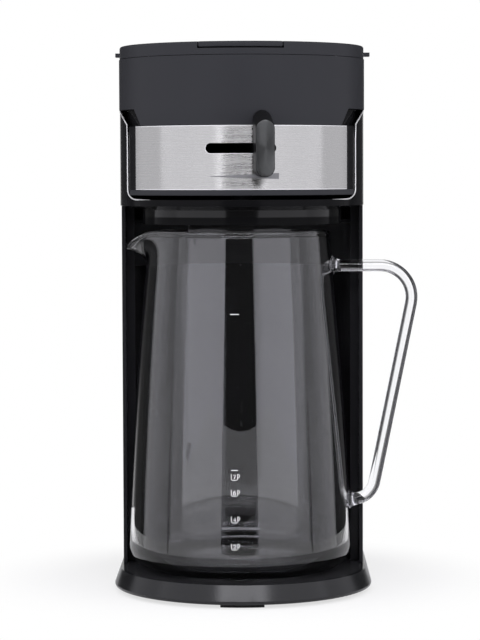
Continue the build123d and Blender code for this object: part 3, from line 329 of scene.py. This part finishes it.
def plastic(name, colour, rough, rough_change, grain, depth, level=0.5, shade=0.06, ior=1.5,
            matt_above=None, painted_light_behind=None, gloss_above=None):
    """Moulded plastic: grain in bumps per metre, depth as the bump's strength."""
    material, tree = new_material(name)
    shader = tree.nodes.new("ShaderNodeBsdfPrincipled")
    wire(tree, shader, 0, tree.nodes["Material Output"], "Surface")
    shader.inputs["Specular IOR Level"].default_value = level
    shader.inputs["IOR"].default_value = ior
    where = tree.nodes.new("ShaderNodeTexCoord")
    drift = noise(tree, where, 14, 4)
    handled = spread(tree, drift.outputs["Fac"], rough - rough_change, rough + rough_change)
    wire(tree, handled, 0, shader, "Roughness")
    if matt_above is not None:
        edge = along_axis(tree, where, "Z", matt_above, matt_above + matt_edge, 0.0, matt_added)
        total = tree.nodes.new("ShaderNodeMath")
        wire(tree, handled, 0, total, 0)
        wire(tree, edge, 0, total, 1)
        wire(tree, total, 0, shader, "Roughness")
    if gloss_above is not None:
        edge = along_axis(tree, where, "Z", gloss_above - gloss_edge, gloss_above, dull_level, level)
        wire(tree, edge, 0, shader, "Specular IOR Level")
    mix = tree.nodes.new("ShaderNodeMix")
    mix.data_type = "RGBA"
    mix.inputs["A"].default_value = tuple(c * (1 - shade) for c in colour) + (1,)
    mix.inputs["B"].default_value = tuple(c * (1 + shade) for c in colour) + (1,)
    tree.links.new(drift.outputs["Fac"], mix.inputs["Factor"])
    tree.links.new(mix.outputs["Result"], shader.inputs["Base Color"])
    # Painted light: behind a given Y the base colour is lifted by a factor, standing in for the light on
    # the walls beside the jug.
    if painted_light_behind is not None:
        edge = along_axis(tree, where, "Y", painted_light_behind - painted_light_run, painted_light_behind, 1.0, painted_light_times)
        edge.interpolation_type = "SMOOTHSTEP"
        painted_light_colour = tree.nodes.new("ShaderNodeVectorMath")
        painted_light_colour.operation = "SCALE"
        tree.links.new(mix.outputs["Result"], painted_light_colour.inputs[0])
        wire(tree, edge, 0, painted_light_colour, "Scale")
        wire(tree, painted_light_colour, 0, shader, "Base Color")
    fine = noise(tree, where, grain, 2)
    bump = tree.nodes.new("ShaderNodeBump")
    bump.inputs["Strength"].default_value = depth
    bump.inputs["Distance"].default_value = 0.0002
    tree.links.new(fine.outputs["Fac"], bump.inputs["Height"])
    wire(tree, bump, 0, shader, "Normal")
    return material


finishes = {
    "satin_grey": plastic("satin grey", (0.0258, 0.0264, 0.0308), 0.42, 0.04, 1800, 0.12, level=0.14),
    "rim_grey": plastic("rim grey", (0.005, 0.0052, 0.0064), 0.22, 0.03, 1800, 0.10, level=0.44),
    "soft_black": plastic("soft black", (0.0095, 0.0095, 0.0105), 0.14, 0.02, 500, 0.015, level=0.12),
    # The housing's colour is raised behind its front as painted light for the walls beside the jug.
    "column_black": plastic("column black", (0.0050, 0.0050, 0.0056), 0.14, 0.02, 500, 0.015, level=0.05,
                            painted_light_behind=0.010),
    "tray_black": plastic("tray black", (0.005, 0.005, 0.0055), 0.10, 0.02, 500, 0.015, level=0.34,
                          gloss_above=0.238),
    # The deck's colour is lighter than the other blacks' to stand in for the grey reflections on it: a
    # painted reflection.
    "deck_black": plastic("deck black", (0.024, 0.024, 0.026), 0.22, 0.03, 500, 0.02),
    "bay_black": plastic("bay black", (0.0085, 0.0085, 0.0095), 0.08, 0.02, 400, 0.010, ior=1.55,
                         matt_above=0.205),
    "knob_black": plastic("knob black", (0.006, 0.006, 0.0065), 0.34, 0.04, 2200, 0.10, level=0.2),
    "black_plastic": plastic("matt black", (0.016, 0.016, 0.017), 0.50, 0.06, 1500, 0.20),
    "rubber": plastic("rubber", (0.020, 0.020, 0.020), 0.72, 0.05, 900, 0.30, level=0.3),
    "fuse_ceramic": plastic("ceramic", (0.62, 0.58, 0.50), 0.55, 0.05, 1200, 0.15),
}
print("plastics:", sorted(finishes))

# %% [markdown]
# ## Metals
#
# The panel is stainless steel brushed along its length. Brushing is a set
# of very long, very fine scratches, so noise is drawn out sideways until
# its grains are lines, and it drives the roughness, the tone and the bump.
# The marks run round the body, and so the noise is squeezed in height only.
# Scratches also blur a reflection across themselves and not along them.
# The shader's anisotropy does that, turned by a quarter from a tangent
# that runs round the body.

# %% Metal finishes
def metal(name, colour, rough, rough_change, scale, stretch, depth, tone=0.05, streak=0.0):
    """Metal with a grain drawn out by stretch. Streak blurs its reflections across the grain."""
    material, tree = new_material(name)
    shader = tree.nodes.new("ShaderNodeBsdfPrincipled")
    wire(tree, shader, 0, tree.nodes["Material Output"], "Surface")
    shader.inputs["Metallic"].default_value = 1.0
    if streak:
        shader.inputs["Anisotropic"].default_value = streak
        shader.inputs["Anisotropic Rotation"].default_value = 0.25
        round_axis = tree.nodes.new("ShaderNodeTangent")
        round_axis.direction_type = "RADIAL"
        round_axis.axis = "Z"
        wire(tree, round_axis, 0, shader, "Tangent")
    where = tree.nodes.new("ShaderNodeTexCoord")
    lines = noise(tree, where, scale, 4, stretch)
    handled = spread(tree, lines.outputs["Fac"], rough - rough_change, rough + rough_change)
    wire(tree, handled, 0, shader, "Roughness")
    mix = tree.nodes.new("ShaderNodeMix")
    mix.data_type = "RGBA"
    mix.inputs["A"].default_value = tuple(c * (1 - tone) for c in colour) + (1,)
    mix.inputs["B"].default_value = tuple(c * (1 + tone) for c in colour) + (1,)
    tree.links.new(lines.outputs["Fac"], mix.inputs["Factor"])
    tree.links.new(mix.outputs["Result"], shader.inputs["Base Color"])
    bump = tree.nodes.new("ShaderNodeBump")
    bump.inputs["Strength"].default_value = depth
    bump.inputs["Distance"].default_value = 0.00005
    tree.links.new(lines.outputs["Fac"], bump.inputs["Height"])
    wire(tree, bump, 0, shader, "Normal")
    return material


even, brushed_long = (1.0, 1.0, 1.0), (1.0, 1.0, 36.0)
finishes["brushed_steel"] = metal("brushed steel", (0.5455, 0.5415, 0.5345), 0.27, 0.04, 45,
                                  brushed_long, 0.28, tone=0.07, streak=0.98)
finishes["plain_steel"] = metal("plain steel", (0.55, 0.55, 0.55), 0.30, 0.05, 400, even, 0.10)
finishes["aluminium"] = metal("cast aluminium", (0.60, 0.60, 0.61), 0.45, 0.08, 500, even, 0.40)
finishes["dark_aluminium"] = metal("dark aluminium", (0.09, 0.09, 0.095), 0.30, 0.05, 700, even, 0.08)
print("finishes so far:", len(finishes))

# %% [markdown]
# ## Glass and clear plastic
#
# The jug is taken to be borosilicate glass, which is almost without
# colour. The water tank can't be seen in the picture, and a smoke-grey
# clear moulding is a guess.

# %% Clear finishes
def clear(name, colour, rough, ior, depth):
    """A clear solid with the faint waves of blown or moulded walls."""
    material, tree = new_material(name)
    shader = tree.nodes.new("ShaderNodeBsdfPrincipled")
    wire(tree, shader, 0, tree.nodes["Material Output"], "Surface")
    shader.inputs["Base Color"].default_value = colour + (1,)
    shader.inputs["Transmission Weight"].default_value = 1.0
    shader.inputs["Roughness"].default_value = rough
    shader.inputs["IOR"].default_value = ior
    where = tree.nodes.new("ShaderNodeTexCoord")
    waves = noise(tree, where, 22, 2, (1.0, 1.0, 0.6))
    bump = tree.nodes.new("ShaderNodeBump")
    bump.inputs["Strength"].default_value = depth
    bump.inputs["Distance"].default_value = 0.002
    tree.links.new(waves.outputs["Fac"], bump.inputs["Height"])
    wire(tree, bump, 0, shader, "Normal")
    return material


finishes["clear_glass"] = clear("clear glass", (0.98, 0.98, 1.0), 0.0, 1.47, 0.02)
finishes["smoke_plastic"] = clear("smoke plastic", (0.30, 0.30, 0.32), 0.08, 1.49, 0.01)
print("clear finishes ready")

# %% [markdown]
# ## Dressing the nodes
#
# Each node takes the finish that its record names, which is also the name
# of its material. The record has one gloss black for five mouldings that
# look unlike each other in the picture, and the base rim looks smoother
# than the other grey ones, so these six take a closer finish.
#
# Moulded edges are never knife sharp, and a small round catches a line of
# light. The frame's meshes must not change, so the rounding is a modifier:
# the loose corners are welded first, and then the sharp edges alone are
# bevelled. A last modifier weights the normals by area, so that the broad
# faces reflect evenly and the shading bends only in the rounds.

# %% Finishes and rounded edges
closer_finish = {
    "bay_wall": "bay_black", "base_rim": "rim_grey", "head_tray": "tray_black",
    "base_deck": "deck_black", "housing": "column_black", "basket_drum": "soft_black",
}
for name, node in nodes.items():
    for slot in node.material_slots:
        named = slot.material.name.split(".")[0]
        slot.material = finishes[closer_finish.get(name, named)]


def round_edges(name, width, angle=28, segments=3):
    """Weld a node's corners, round every edge sharper than angle and even out its flat faces."""
    weld = nodes[name].modifiers.new("weld", "WELD")
    weld.merge_threshold = 0.00001
    bevel = nodes[name].modifiers.new("round", "BEVEL")
    bevel.width = width
    bevel.segments = segments
    bevel.limit_method = "ANGLE"
    bevel.angle_limit = radians(angle)
    bevel.harden_normals = True
    flat = nodes[name].modifiers.new("flat", "WEIGHTED_NORMAL")
    flat.keep_sharp = True


edge_rounds = {
    "housing": 0.0003, "lever_knob": 0.0006, "base_rim": 0.0006, "basket_band": 0.0005,
    "rear_collar": 0.0005, "lid_tab": 0.0011, "tank_lid": 0.0008, "basket_base": 0.0006,
    "head_tray": 0.0004, "switch_bezel": 0.0004, "switch_rocker": 0.0006, "cord_gland": 0.0005,
    "feet": 0.0004,
}
for name, width in edge_rounds.items():
    round_edges(name, width)
print("rounded:", len(edge_rounds), "nodes")

# %% [markdown]
# ## The jug
#
# The jug is blown glass: a thick floor, a wall of even thickness that
# leans in towards the mouth, a fire-polished rim that is a little swollen,
# and a pouring lip pulled out to the left while the glass was soft. A
# turned shape can't have that lip, and a sculpted one would not be round.
# So the jug is a grid of rings, one ring for each station of the outline,
# and each ring is a circle that is drawn out where the lip passes it.

# %% Jug outline
jug_shift = -1.8
jug_bottom, jug_rim = 14.3, 228.2
belly, middle, shoulder = (28.0, 70.8), (120.3, 66.1), (209.7, 59.1)
rim_radius = 57.5
wall = 2.4
corner_radius = 15.0
corner_centre = belly[1] - corner_radius
lip_reach, lip_nose = 71.4, 5.0


def wall_radius(height):
    """The jug's outer radius in millimetres, on a curve through three measured rings."""
    if height > shoulder[0]:
        share = (height - shoulder[0]) / (jug_rim - shoulder[0])
        return shoulder[1] + (rim_radius - shoulder[1]) * share
    total = 0.0
    rings = (belly, middle, shoulder)
    for ring in rings:
        weight = 1.0
        for other in rings:
            if other is not ring:
                weight *= (height - other[0]) / (ring[0] - other[0])
        total += ring[1] * weight
    return total


def mouth_reach(angle, inset):
    """How far the mouth reaches at an angle from the lip: circle, straight flank or round nose."""
    mouth, nose = rim_radius - inset, lip_nose - inset
    nose_centre = lip_reach - inset - nose
    flank = acos((mouth - nose) / nose_centre)
    angle = abs(angle)
    if angle >= flank:
        return mouth
    nose_edge = atan2(nose * sin(flank), nose_centre + nose * cos(flank))
    if angle >= nose_edge:
        return mouth / cos(flank - angle)
    return nose_centre * cos(angle) + sqrt(nose**2 - (nose_centre * sin(angle)) ** 2)


print("radius at the belly and rim:", wall_radius(belly[0]), wall_radius(jug_rim))
print("reach of the lip:", round(mouth_reach(0, 0), 1))

# %% [markdown]
# The rim dips along the lip like the edge of a poured sheet. The measured
# curl starts 51 mm from the axis and falls faster and faster to the tip,
# and a power curve follows it well.

# %% Rim and lip
lip_root = 205.0
curl_start, curl_run, curl_depth, curl_power = 51.0, 22.4, 11.6, 2.54
bead = ((0.0, -2.1), (0.2, -1.7), (0.3, -1.2), (0.2, -0.6), (-0.25, -0.1), (-1.2, 0.1), (-2.15, -0.1),
        (-2.6, -0.6), (-2.7, -1.2), (-2.6, -1.7), (-wall, -2.1))


def rim_height(angle):
    """The rim's height at an angle from the lip."""
    past_curl = mouth_reach(angle, 0) * cos(angle) - curl_start
    return jug_rim - curl_depth * (max(past_curl, 0.0) / curl_run) ** curl_power


def lip_ring(angle, share, inset):
    """Radius and height of a point between the lip's root, share 0, and the bead, share 1."""
    pulled = mouth_reach(angle, inset) - (rim_radius - inset)
    top = rim_height(angle) + bead[0][1]
    if inset:
        top += 1.7 * pulled / (lip_reach - rim_radius)
    upright = lip_root + share * (jug_rim + bead[0][1] - lip_root)
    return wall_radius(upright) - inset + pulled * share**3, lip_root + share * (top - lip_root)


def bead_ring(angle, step):
    """Radius and height of a point of the swollen rim."""
    out, rise = bead[step]
    radius, foot = lip_ring(angle, 1.0, 0)
    if step > len(bead) // 2:
        inner_radius, inner_foot = lip_ring(angle, 1.0, wall)
        fall = (inner_foot - rim_height(angle)) / bead[0][1]
        return inner_radius + (out + wall), rim_height(angle) + rise * fall
    return radius + out, foot - bead[0][1] + rise


print("rim at the lip:", round(rim_height(0), 1), "and opposite:", rim_height(pi))

# %% Jug stations
def corner_ring(radius, centre_height, turn):
    """A point on a round corner, from its bottom at turn -90 to its side at 0."""
    return corner_centre + radius * cos(radians(turn)), centre_height + radius * sin(radians(turn))


def jug_stations():
    """One function of the angle for each ring, from under the floor to inside it."""
    inner_corner = corner_radius - wall
    floor_top = 20.3
    plain = [(0.0, 17.6), (14.0, 17.4), (28.0, 16.7), (40.0, 15.6), (47.0, 14.7), (51.0, 14.3),
             (corner_centre, jug_bottom)]
    plain += [corner_ring(corner_radius, jug_bottom + corner_radius, turn) for turn in range(-80, 1, 8)]
    plain += [(wall_radius(height), height) for height in [33 + 10 * step for step in range(18)]]
    inside = [(wall_radius(height) - wall, height) for height in [203 - 10 * step for step in range(17)]]
    inside += [corner_ring(inner_corner, floor_top + inner_corner, turn) for turn in range(0, -81, -8)]
    inside += [(corner_centre, floor_top), (48.0, floor_top + 0.2), (36.0, floor_top + 1.0),
               (22.0, floor_top + 2.1), (10.0, floor_top + 2.7), (0.0, floor_top + 2.9)]
    stations = [lambda angle, ring=ring: ring for ring in plain]
    shares = [step / 12 for step in range(12)]
    stations += [lambda angle, share=share: lip_ring(angle, share, 0) for share in shares]
    stations += [lambda angle, step=step: bead_ring(angle, step) for step in range(len(bead))]
    stations += [lambda angle, share=share: lip_ring(angle, share, wall) for share in reversed(shares)]
    stations += [lambda angle, ring=ring: ring for ring in inside]
    return stations


stations = jug_stations()
print("rings in the jug:", len(stations))

# %% Jug mesh
def new_piece(name, mesh, body, finish, stands_for=None):
    """Link a mesh as a piece that rides a body, with its finish and the node it stands for."""
    piece = bpy.data.objects.new(name, mesh)
    scene.collection.objects.link(piece)
    mesh.materials.append(finishes[finish])
    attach(piece, body)
    if stands_for is not None:
        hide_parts(stands_for)
    return piece


def smooth_mesh(name, grid):
    """A mesh from a bmesh, with all its faces shaded smooth."""
    bmesh.ops.recalc_face_normals(grid, faces=grid.faces)
    for face in grid.faces:
        face.smooth = True
    mesh = bpy.data.meshes.new(name)
    grid.to_mesh(mesh)
    grid.free()
    return mesh


turns = 240
jug_grid = bmesh.new()
rings = []
for station in stations:
    ring = []
    for turn in range(turns):
        share = 2 * turn / turns - 1
        angle = pi * share - 0.75 * sin(pi * share)
        radius, height = station(angle)
        ring.append(jug_grid.verts.new((
            (jug_shift - radius * cos(angle)) / 1000, radius * sin(angle) / 1000, height / 1000,
        )))
    rings.append(ring)
for low, high in zip(rings, rings[1:]):
    for turn in range(turns):
        following = (turn + 1) % turns
        jug_grid.faces.new((low[turn], low[following], high[following], high[turn]))
bmesh.ops.remove_doubles(jug_grid, verts=rings[0] + rings[-1], dist=0.000001)
glass_jug = new_piece("glass_jug", smooth_mesh("glass_jug", jug_grid), "jug", "clear_glass", "jug_body")
print("jug faces:", len(glass_jug.data.polygons))

# %% [markdown]
# The handle is one bent glass rod. Its ends were pressed into the hot wall,
# so they spread where they meet it. A curve with a bevel would keep one
# thickness, and so the rod is swept by hand: a circle at each point of the
# path, wider near both ends.

# %% Handle path
rod_radius = 3.8
flare_width, flare_run = 2.9, 6.5
handle_top, handle_low = 206.0, 56.9
root_sink = 0.6
top_corner, low_corner, low_root = (113.8, handle_top), (83.6, 57.6), 56.7
top_bend, low_bend = 20.0, 14.0
point_gap = 1.5


def bent_path(corners, bends, steps=14):
    """Points along straight runs whose inner corners are rounded by bends."""
    points = [Vector(corners[0])]
    for before, corner, after, bend in zip(corners, corners[1:], corners[2:], bends):
        before, corner, after = Vector(before), Vector(corner), Vector(after)
        into, out = (corner - before).normalized(), (after - corner).normalized()
        half_turn = into.angle(out) / 2
        centre = corner + (out - into).normalized() * bend / cos(half_turn)
        arm = corner - into * bend * sin(half_turn) / cos(half_turn) - centre
        side = into * bend
        for step in range(steps + 1):
            swing = 2 * half_turn * step / steps
            points.append(centre + arm * cos(swing) + side * sin(swing))
    points.append(Vector(corners[-1]))
    return points


def spaced(points, gap):
    """The same path with points no further apart than gap."""
    full = [points[0]]
    for start, end in zip(points, points[1:]):
        count = max(1, int((end - start).length / gap))
        full += [start.lerp(end, step / count) for step in range(1, count + 1)]
    return full


handle_path = spaced(bent_path(
    [(wall_radius(handle_top) - root_sink, handle_top), top_corner, low_corner,
     (wall_radius(handle_low) - root_sink, low_root)], (top_bend, low_bend)), point_gap)
print("handle points:", len(handle_path))

# %% Handle mesh
travelled = [0.0]
for start, end in zip(handle_path, handle_path[1:]):
    travelled.append(travelled[-1] + (end - start).length)
rod_grid = bmesh.new()
rod_rings = []
around = 32
for index, point in enumerate(handle_path):
    ahead = handle_path[min(index + 1, len(handle_path) - 1)] - handle_path[max(index - 1, 0)]
    ahead.normalize()
    from_end = min(travelled[index], travelled[-1] - travelled[index])
    radius = rod_radius + flare_width * max(0.0, 1 - from_end / flare_run) ** 2.5
    ring = []
    for step in range(around):
        turn = 2 * pi * step / around
        out = radius * cos(turn)
        ring.append(rod_grid.verts.new((
            (jug_shift + point.x - ahead.y * out) / 1000,
            radius * sin(turn) / 1000,
            (point.y + ahead.x * out) / 1000,
        )))
    rod_rings.append(ring)
for low, high in zip(rod_rings, rod_rings[1:]):
    for step in range(around):
        following = (step + 1) % around
        rod_grid.faces.new((low[step], low[following], high[following], high[step]))
glass_handle = new_piece(
    "glass_handle", smooth_mesh("glass_handle", rod_grid), "jug", "clear_glass", "jug_handle")
print("handle length:", round(travelled[-1]), "mm")

# %% [markdown]
# ## Marks on the jug
#
# White marks are printed on the front of the glass: a short line high up,
# a cup with a number at four levels, and a short line over the top cup.
# Print has no thickness to speak of, so each mark is a thin sheet wrapped
# on the wall a few hundredths of a millimetre in front of it. The strokes
# are flat ribbons along a line.

# %% Printed marks
def matt_paint(name, colour, rough):
    """Screen-printed ink: plain colour with the faint mottle of a printed layer."""
    return plastic(name, colour, rough, 0.05, 1500, 0.05, level=0.3, shade=0.04)


finishes["white_ink"] = matt_paint("white ink", (0.80, 0.80, 0.80), 0.5)


def on_jug(x, height, lift=0.06):
    """The point of the jug's front wall at x and height in millimetres."""
    radius = wall_radius(height) + lift
    return Vector((jug_shift + x, -sqrt(radius**2 - x**2), height)) / 1000


def ribbon(grid, points, width, place, closed=False):
    """A flat stroke of so many millimetres along a line, laid by place(x, z)."""
    count = len(points)
    left, right_side = [], []
    for index, point in enumerate(points):
        before = points[(index - 1) % count if closed else max(index - 1, 0)]
        after = points[(index + 1) % count if closed else min(index + 1, count - 1)]
        run = Vector((after[0] - before[0], after[1] - before[1])).normalized() * width / 2
        left.append(grid.verts.new(place(point[0] - run.y, point[1] + run.x)))
        right_side.append(grid.verts.new(place(point[0] + run.y, point[1] - run.x)))
    for index in range(count if closed else count - 1):
        following = (index + 1) % count
        grid.faces.new((left[index], right_side[index], right_side[following], left[following]))


def ring_points(x, z, radius_x, radius_z, start=0, end=360, steps=16):
    """Points of an oval, or of part of one."""
    turns_round = [radians(start + (end - start) * step / steps) for step in range(steps + 1)]
    return [(x + radius_x * cos(turn), z + radius_z * sin(turn)) for turn in turns_round]


print("ink ready")

# %% [markdown]
# A number is drawn as a person letters a scale by hand, with straight
# strokes and parts of ovals, in a box 1.7 mm wide and 2.4 mm high.

# %% Numbers
numerals = {
    "7": [[(-0.8, 1.2), (0.8, 1.2), (-0.3, -1.2)]],
    "6": [[(0.6, 1.2), (-0.1, 1.0), (-0.65, 0.2)] + ring_points(0, -0.4, 0.75, 0.8, 150, 510)],
    "4": [[(0.4, -1.2), (0.4, 1.2), (-0.8, -0.5), (0.85, -0.5)]],
    "2": [ring_points(0, 0.5, 0.75, 0.7, 170, -20) + [(-0.8, -1.2), (0.85, -1.2)]],
}
cup_outline = [(-2.2, 1.9), (-2.2, -1.2), (-1.5, -1.9), (1.0, -1.9), (1.7, -1.2), (1.7, 1.9)]
cup_ear = ring_points(1.7, 0.6, 1.2, 1.1, 90, -90, 10)
mark_x = -2.6
ink_grid = bmesh.new()
for numeral, height in (("7", 79.3), ("6", 69.6), ("4", 53.3), ("2", 36.7)):
    strokes = [(stroke, 0.42) for stroke in numerals[numeral]] + [(cup_outline, 0.36), (cup_ear, 0.36)]
    for stroke, width in strokes:
        if stroke in numerals[numeral]:
            stroke = [(x - 0.25, z) for x, z in stroke]
        ribbon(ink_grid, [(mark_x + x, height + z) for x, z in stroke], width, on_jug)
ribbon(ink_grid, [(mark_x - 2.3 + 0.6 * step, 83.4) for step in range(8)], 0.4, on_jug)
ribbon(ink_grid, [(mark_x - 2.6 + 0.6 * step, 178.5) for step in range(10)], 0.45, on_jug)
jug_marks = new_piece("jug_marks", smooth_mesh("jug_marks", ink_grid), "jug", "white_ink")
print("faces of print:", len(jug_marks.data.polygons))

# %% [markdown]
# ## The steel panel's scale and edges
#
# Under the slot a wedge that grows to the right shows that moving the
# lever to the right makes the coffee stronger. It is etched, so it is the
# same steel with a duller, darker face. Along the sheet's top and bottom and
# under the slot, strips of a lighter metal are painted highlights that stand
# in for the light the sheet's edges catch. All of these are strips wrapped
# on the panel, a little in front of it.

# %% Etched wedge and painted edge highlights
finishes["etched_grey"] = metal("etched grey", (0.26, 0.26, 0.27), 0.55, 0.04, 60, (1.0, 1.0, 60.0), 0.2)
# A painted highlight: a light metal for the strips that stand in for light on the sheet's edges.
finishes["rubbed_edge"] = metal("painted panel edge highlight", (0.86, 0.86, 0.87), 0.50, 0.04, 80, (1.0, 1.0, 20.0), 0.2)
panel_radius, panel_low, panel_high = 76.5, 254.6, 293.7


def on_panel(x, height, lift=0.04):
    """The point of the steel panel at x and height in millimetres."""
    radius = panel_radius + lift
    return Vector((x, -sqrt(radius**2 - x**2), height)) / 1000


def panel_strip(grid, from_angle, to_angle, edges, steps=40):
    """A strip round the panel between two angles, whose edges give its two heights at a share."""
    rows = []
    for step in range(steps + 1):
        share = step / steps
        x = panel_radius * sin(radians(from_angle + (to_angle - from_angle) * share))
        rows.append([grid.verts.new(on_panel(x, height)) for height in edges(share)])
    for first, second in zip(rows, rows[1:]):
        grid.faces.new((first[0], second[0], second[1], first[1]))


wedge_grid = bmesh.new()
panel_strip(wedge_grid, -14.1, 17.5, lambda share: (262.55 - 1.5 * share, 262.85 + 1.85 * share))
strength_wedge = new_piece(
    "strength_wedge", smooth_mesh("strength_wedge", wedge_grid), "brew_basket", "etched_grey")

# Painted highlights along the panel's top and bottom and under the slot.
panel_highlight_grid = bmesh.new()
panel_strip(panel_highlight_grid, -58.4, 58.4, lambda share: (panel_high - 0.5, panel_high), 90)
panel_strip(panel_highlight_grid, -58.4, 58.4, lambda share: (panel_low, panel_low + 0.5), 90)
slot_run = ring_points(-18.3, 279.8, 3.3, 3.3, 150, 270, 12)
slot_run += [(4 * step - 16.0, 276.5) for step in range(9)]
ribbon(panel_highlight_grid, slot_run, 0.4, on_panel)
panel_highlight_strips = new_piece(
    "panel_highlight_strips", smooth_mesh("panel_highlight_strips", panel_highlight_grid), "brew_basket", "rubbed_edge")
print("strip faces:", len(strength_wedge.data.polygons), len(panel_highlight_strips.data.polygons))

# %% [markdown]
# ## The knob's cap
#
# The cap is a thin plate of dark aluminium, faced on a lathe. The tool
# leaves rings, and rings spread a reflection into a bright double fan. The
# rings are too fine to model, so they are in the bump, and the fan comes
# from anisotropy. It is turned by a quarter from a tangent that runs along
# the rings, which is the cross product of the way from the centre and the
# way the cap faces. The plate with its turned-over edge is a real mesh.

# %% Spun finish
lever_turn = radians(9.5)
cap_normal = Vector((sin(lever_turn), -cos(lever_turn), 0))
cap_side = Vector((cos(lever_turn), sin(lever_turn), 0))
cap_distance, cap_height, cap_thickness = 0.0896, 0.2795, 0.0008
cap_back = cap_normal * cap_distance + Vector((0, 0, cap_height))
finishes["spun_grey"] = metal("spun grey", (0.079, 0.081, 0.0815), 0.24, 0.03, 300, even, 0.01)
tree = finishes["spun_grey"].node_tree
where = tree.nodes["Texture Coordinate"]
from_centre = tree.nodes.new("ShaderNodeVectorMath")
from_centre.operation = "SUBTRACT"
from_centre.inputs[1].default_value = cap_back + cap_normal * cap_thickness
wire(tree, where, "Object", from_centre, 0)
tool_rings = tree.nodes.new("ShaderNodeTexWave")
tool_rings.wave_type = "RINGS"
tool_rings.rings_direction = "SPHERICAL"
tool_rings.inputs["Scale"].default_value = 700
wire(tree, from_centre, 0, tool_rings, "Vector")
ring_bump = tree.nodes.new("ShaderNodeBump")
ring_bump.inputs["Strength"].default_value = 0.5
ring_bump.inputs["Distance"].default_value = 0.00003
wire(tree, tool_rings, "Fac", ring_bump, "Height")
wire(tree, tree.nodes["Bump"], 0, ring_bump, "Normal")
along_rings = tree.nodes.new("ShaderNodeVectorMath")
along_rings.operation = "CROSS_PRODUCT"
along_rings.inputs[1].default_value = cap_normal
wire(tree, from_centre, 0, along_rings, 0)
cap_shader = tree.nodes["Principled BSDF"]
cap_shader.inputs["Anisotropic"].default_value = 0.9
cap_shader.inputs["Anisotropic Rotation"].default_value = 0.25
wire(tree, along_rings, 0, cap_shader, "Tangent")
wire(tree, ring_bump, 0, cap_shader, "Normal")
print("cap faces", [round(v, 3) for v in cap_normal])

# %% Cap mesh
def round_ended(width, height, steps=20):
    """The outline of a tall plate with half-round ends."""
    straight = (height - width) / 2
    upper = ring_points(0, straight, width / 2, width / 2, 0, 180, steps)
    lower = ring_points(0, -straight, width / 2, width / 2, 180, 360, steps)
    return upper + lower


cap_wide, cap_tall = 11.0, 34.0
cap_grid = bmesh.new()
cap_rings = []
for inset, rise in ((0.0, 0.0), (0.0, 0.5), (0.08, 0.68), (0.25, 0.77), (0.5, 0.8), (2.5, 0.8)):
    ring = []
    for x, z in round_ended(cap_wide - 2 * inset, cap_tall - 2 * inset):
        from_back = (cap_side * x + cap_normal * rise + Vector((0, 0, z))) / 1000
        ring.append(cap_grid.verts.new(cap_back + from_back))
    cap_rings.append(ring)
for low, high in zip(cap_rings, cap_rings[1:]):
    for step in range(len(low)):
        following = (step + 1) % len(low)
        cap_grid.faces.new((low[step], low[following], high[following], high[step]))
cap_grid.faces.new(cap_rings[0])
cap_grid.faces.new(cap_rings[-1])
spun_cap = new_piece(
    "spun_cap", smooth_mesh("spun_cap", cap_grid), "strength_lever", "spun_grey", "knob_cap")
print("cap faces:", len(spun_cap.data.polygons))

# %% [markdown]
# ## The painted highlight along the opening's edge
#
# A painted highlight runs along the edge of the housing's opening, down
# both arms, round the lower corners and out along the bottom: a thin strip
# of light metal that stands in for the light the rounded edge catches. It is
# a curve with a round bevel, and it thins out at both ends.

# %% Opening highlight
finishes["bright_edge"] = metal("painted opening edge highlight", (0.90, 0.90, 0.90), 0.55, 0.05, 300, even, 0.05)
front_radius = 76.85


def on_housing(x, z):
    """The point of the half-round front at x and z in millimetres."""
    return Vector((x, -sqrt(max(front_radius**2 - x**2, 0.0)), z)) / 1000


def edge_highlight_strip(name, side):
    """The painted highlight along one side of the opening."""
    line = [(front_radius, 304.6), (76.3, 303.2), (73.9, 299.3), (71.0, 294.8)]
    line += [(70.8, 285.0), (70.8, 270.0), (70.8, 254.5)]
    line += ring_points(64.8, 254.5, 6.0, 6.0, -10, -90, 8)
    line += [(62.5, 248.5), (60.0, 248.5), (56.0, 248.5)]
    thin = [0.8] + [1.0] * (len(line) - 4) + [0.7, 0.4, 0.12]
    curve = bpy.data.curves.new(name, "CURVE")
    curve.dimensions = "3D"
    curve.bevel_depth = 0.00045
    curve.bevel_resolution = 3
    spline = curve.splines.new("POLY")
    spline.points.add(len(line) - 1)
    for point, (x, z), share in zip(spline.points, line, thin):
        point.co = (*on_housing(side * x, z), 1)
        point.radius = share
    highlight_piece = new_piece(name, curve, "machine", "bright_edge")
    return highlight_piece


opening_highlights = [edge_highlight_strip("left_edge_highlight", -1), edge_highlight_strip("right_edge_highlight", 1)]
print("points per bead:", len(opening_highlights[0].data.splines[0].points))

# %% [markdown]
# ## The switch's marks
#
# A rocker switch has a bar for on and a ring for off, printed on its two
# ends. The rocker rests six degrees turned, and the marks lie on its face.

# %% Switch marks
rocker_turn = radians(6)
rocker_out = Vector((cos(rocker_turn), sin(rocker_turn), 0))
rocker_along = Vector((-sin(rocker_turn), cos(rocker_turn), 0))
rocker_pivot, face_distance = Vector((0.075, 0.100, 0.0265)), 0.00404
rocker_face = rocker_pivot + rocker_out * face_distance


def on_rocker(along, rise):
    """The point of the rocker's face, in millimetres from its middle."""
    return rocker_face + rocker_along * along / 1000 + Vector((0, 0, rise / 1000))


switch_grid = bmesh.new()
ribbon(switch_grid, [(4.6, -1.7), (4.6, 1.7)], 0.5, on_rocker)
ribbon(switch_grid, ring_points(-4.6, 0, 1.6, 1.6, 0, 337.5, 15), 0.5, on_rocker, closed=True)
switch_marks = new_piece(
    "switch_marks", smooth_mesh("switch_marks", switch_grid), "power_switch", "white_ink")
print("switch marks:", len(switch_marks.data.polygons))
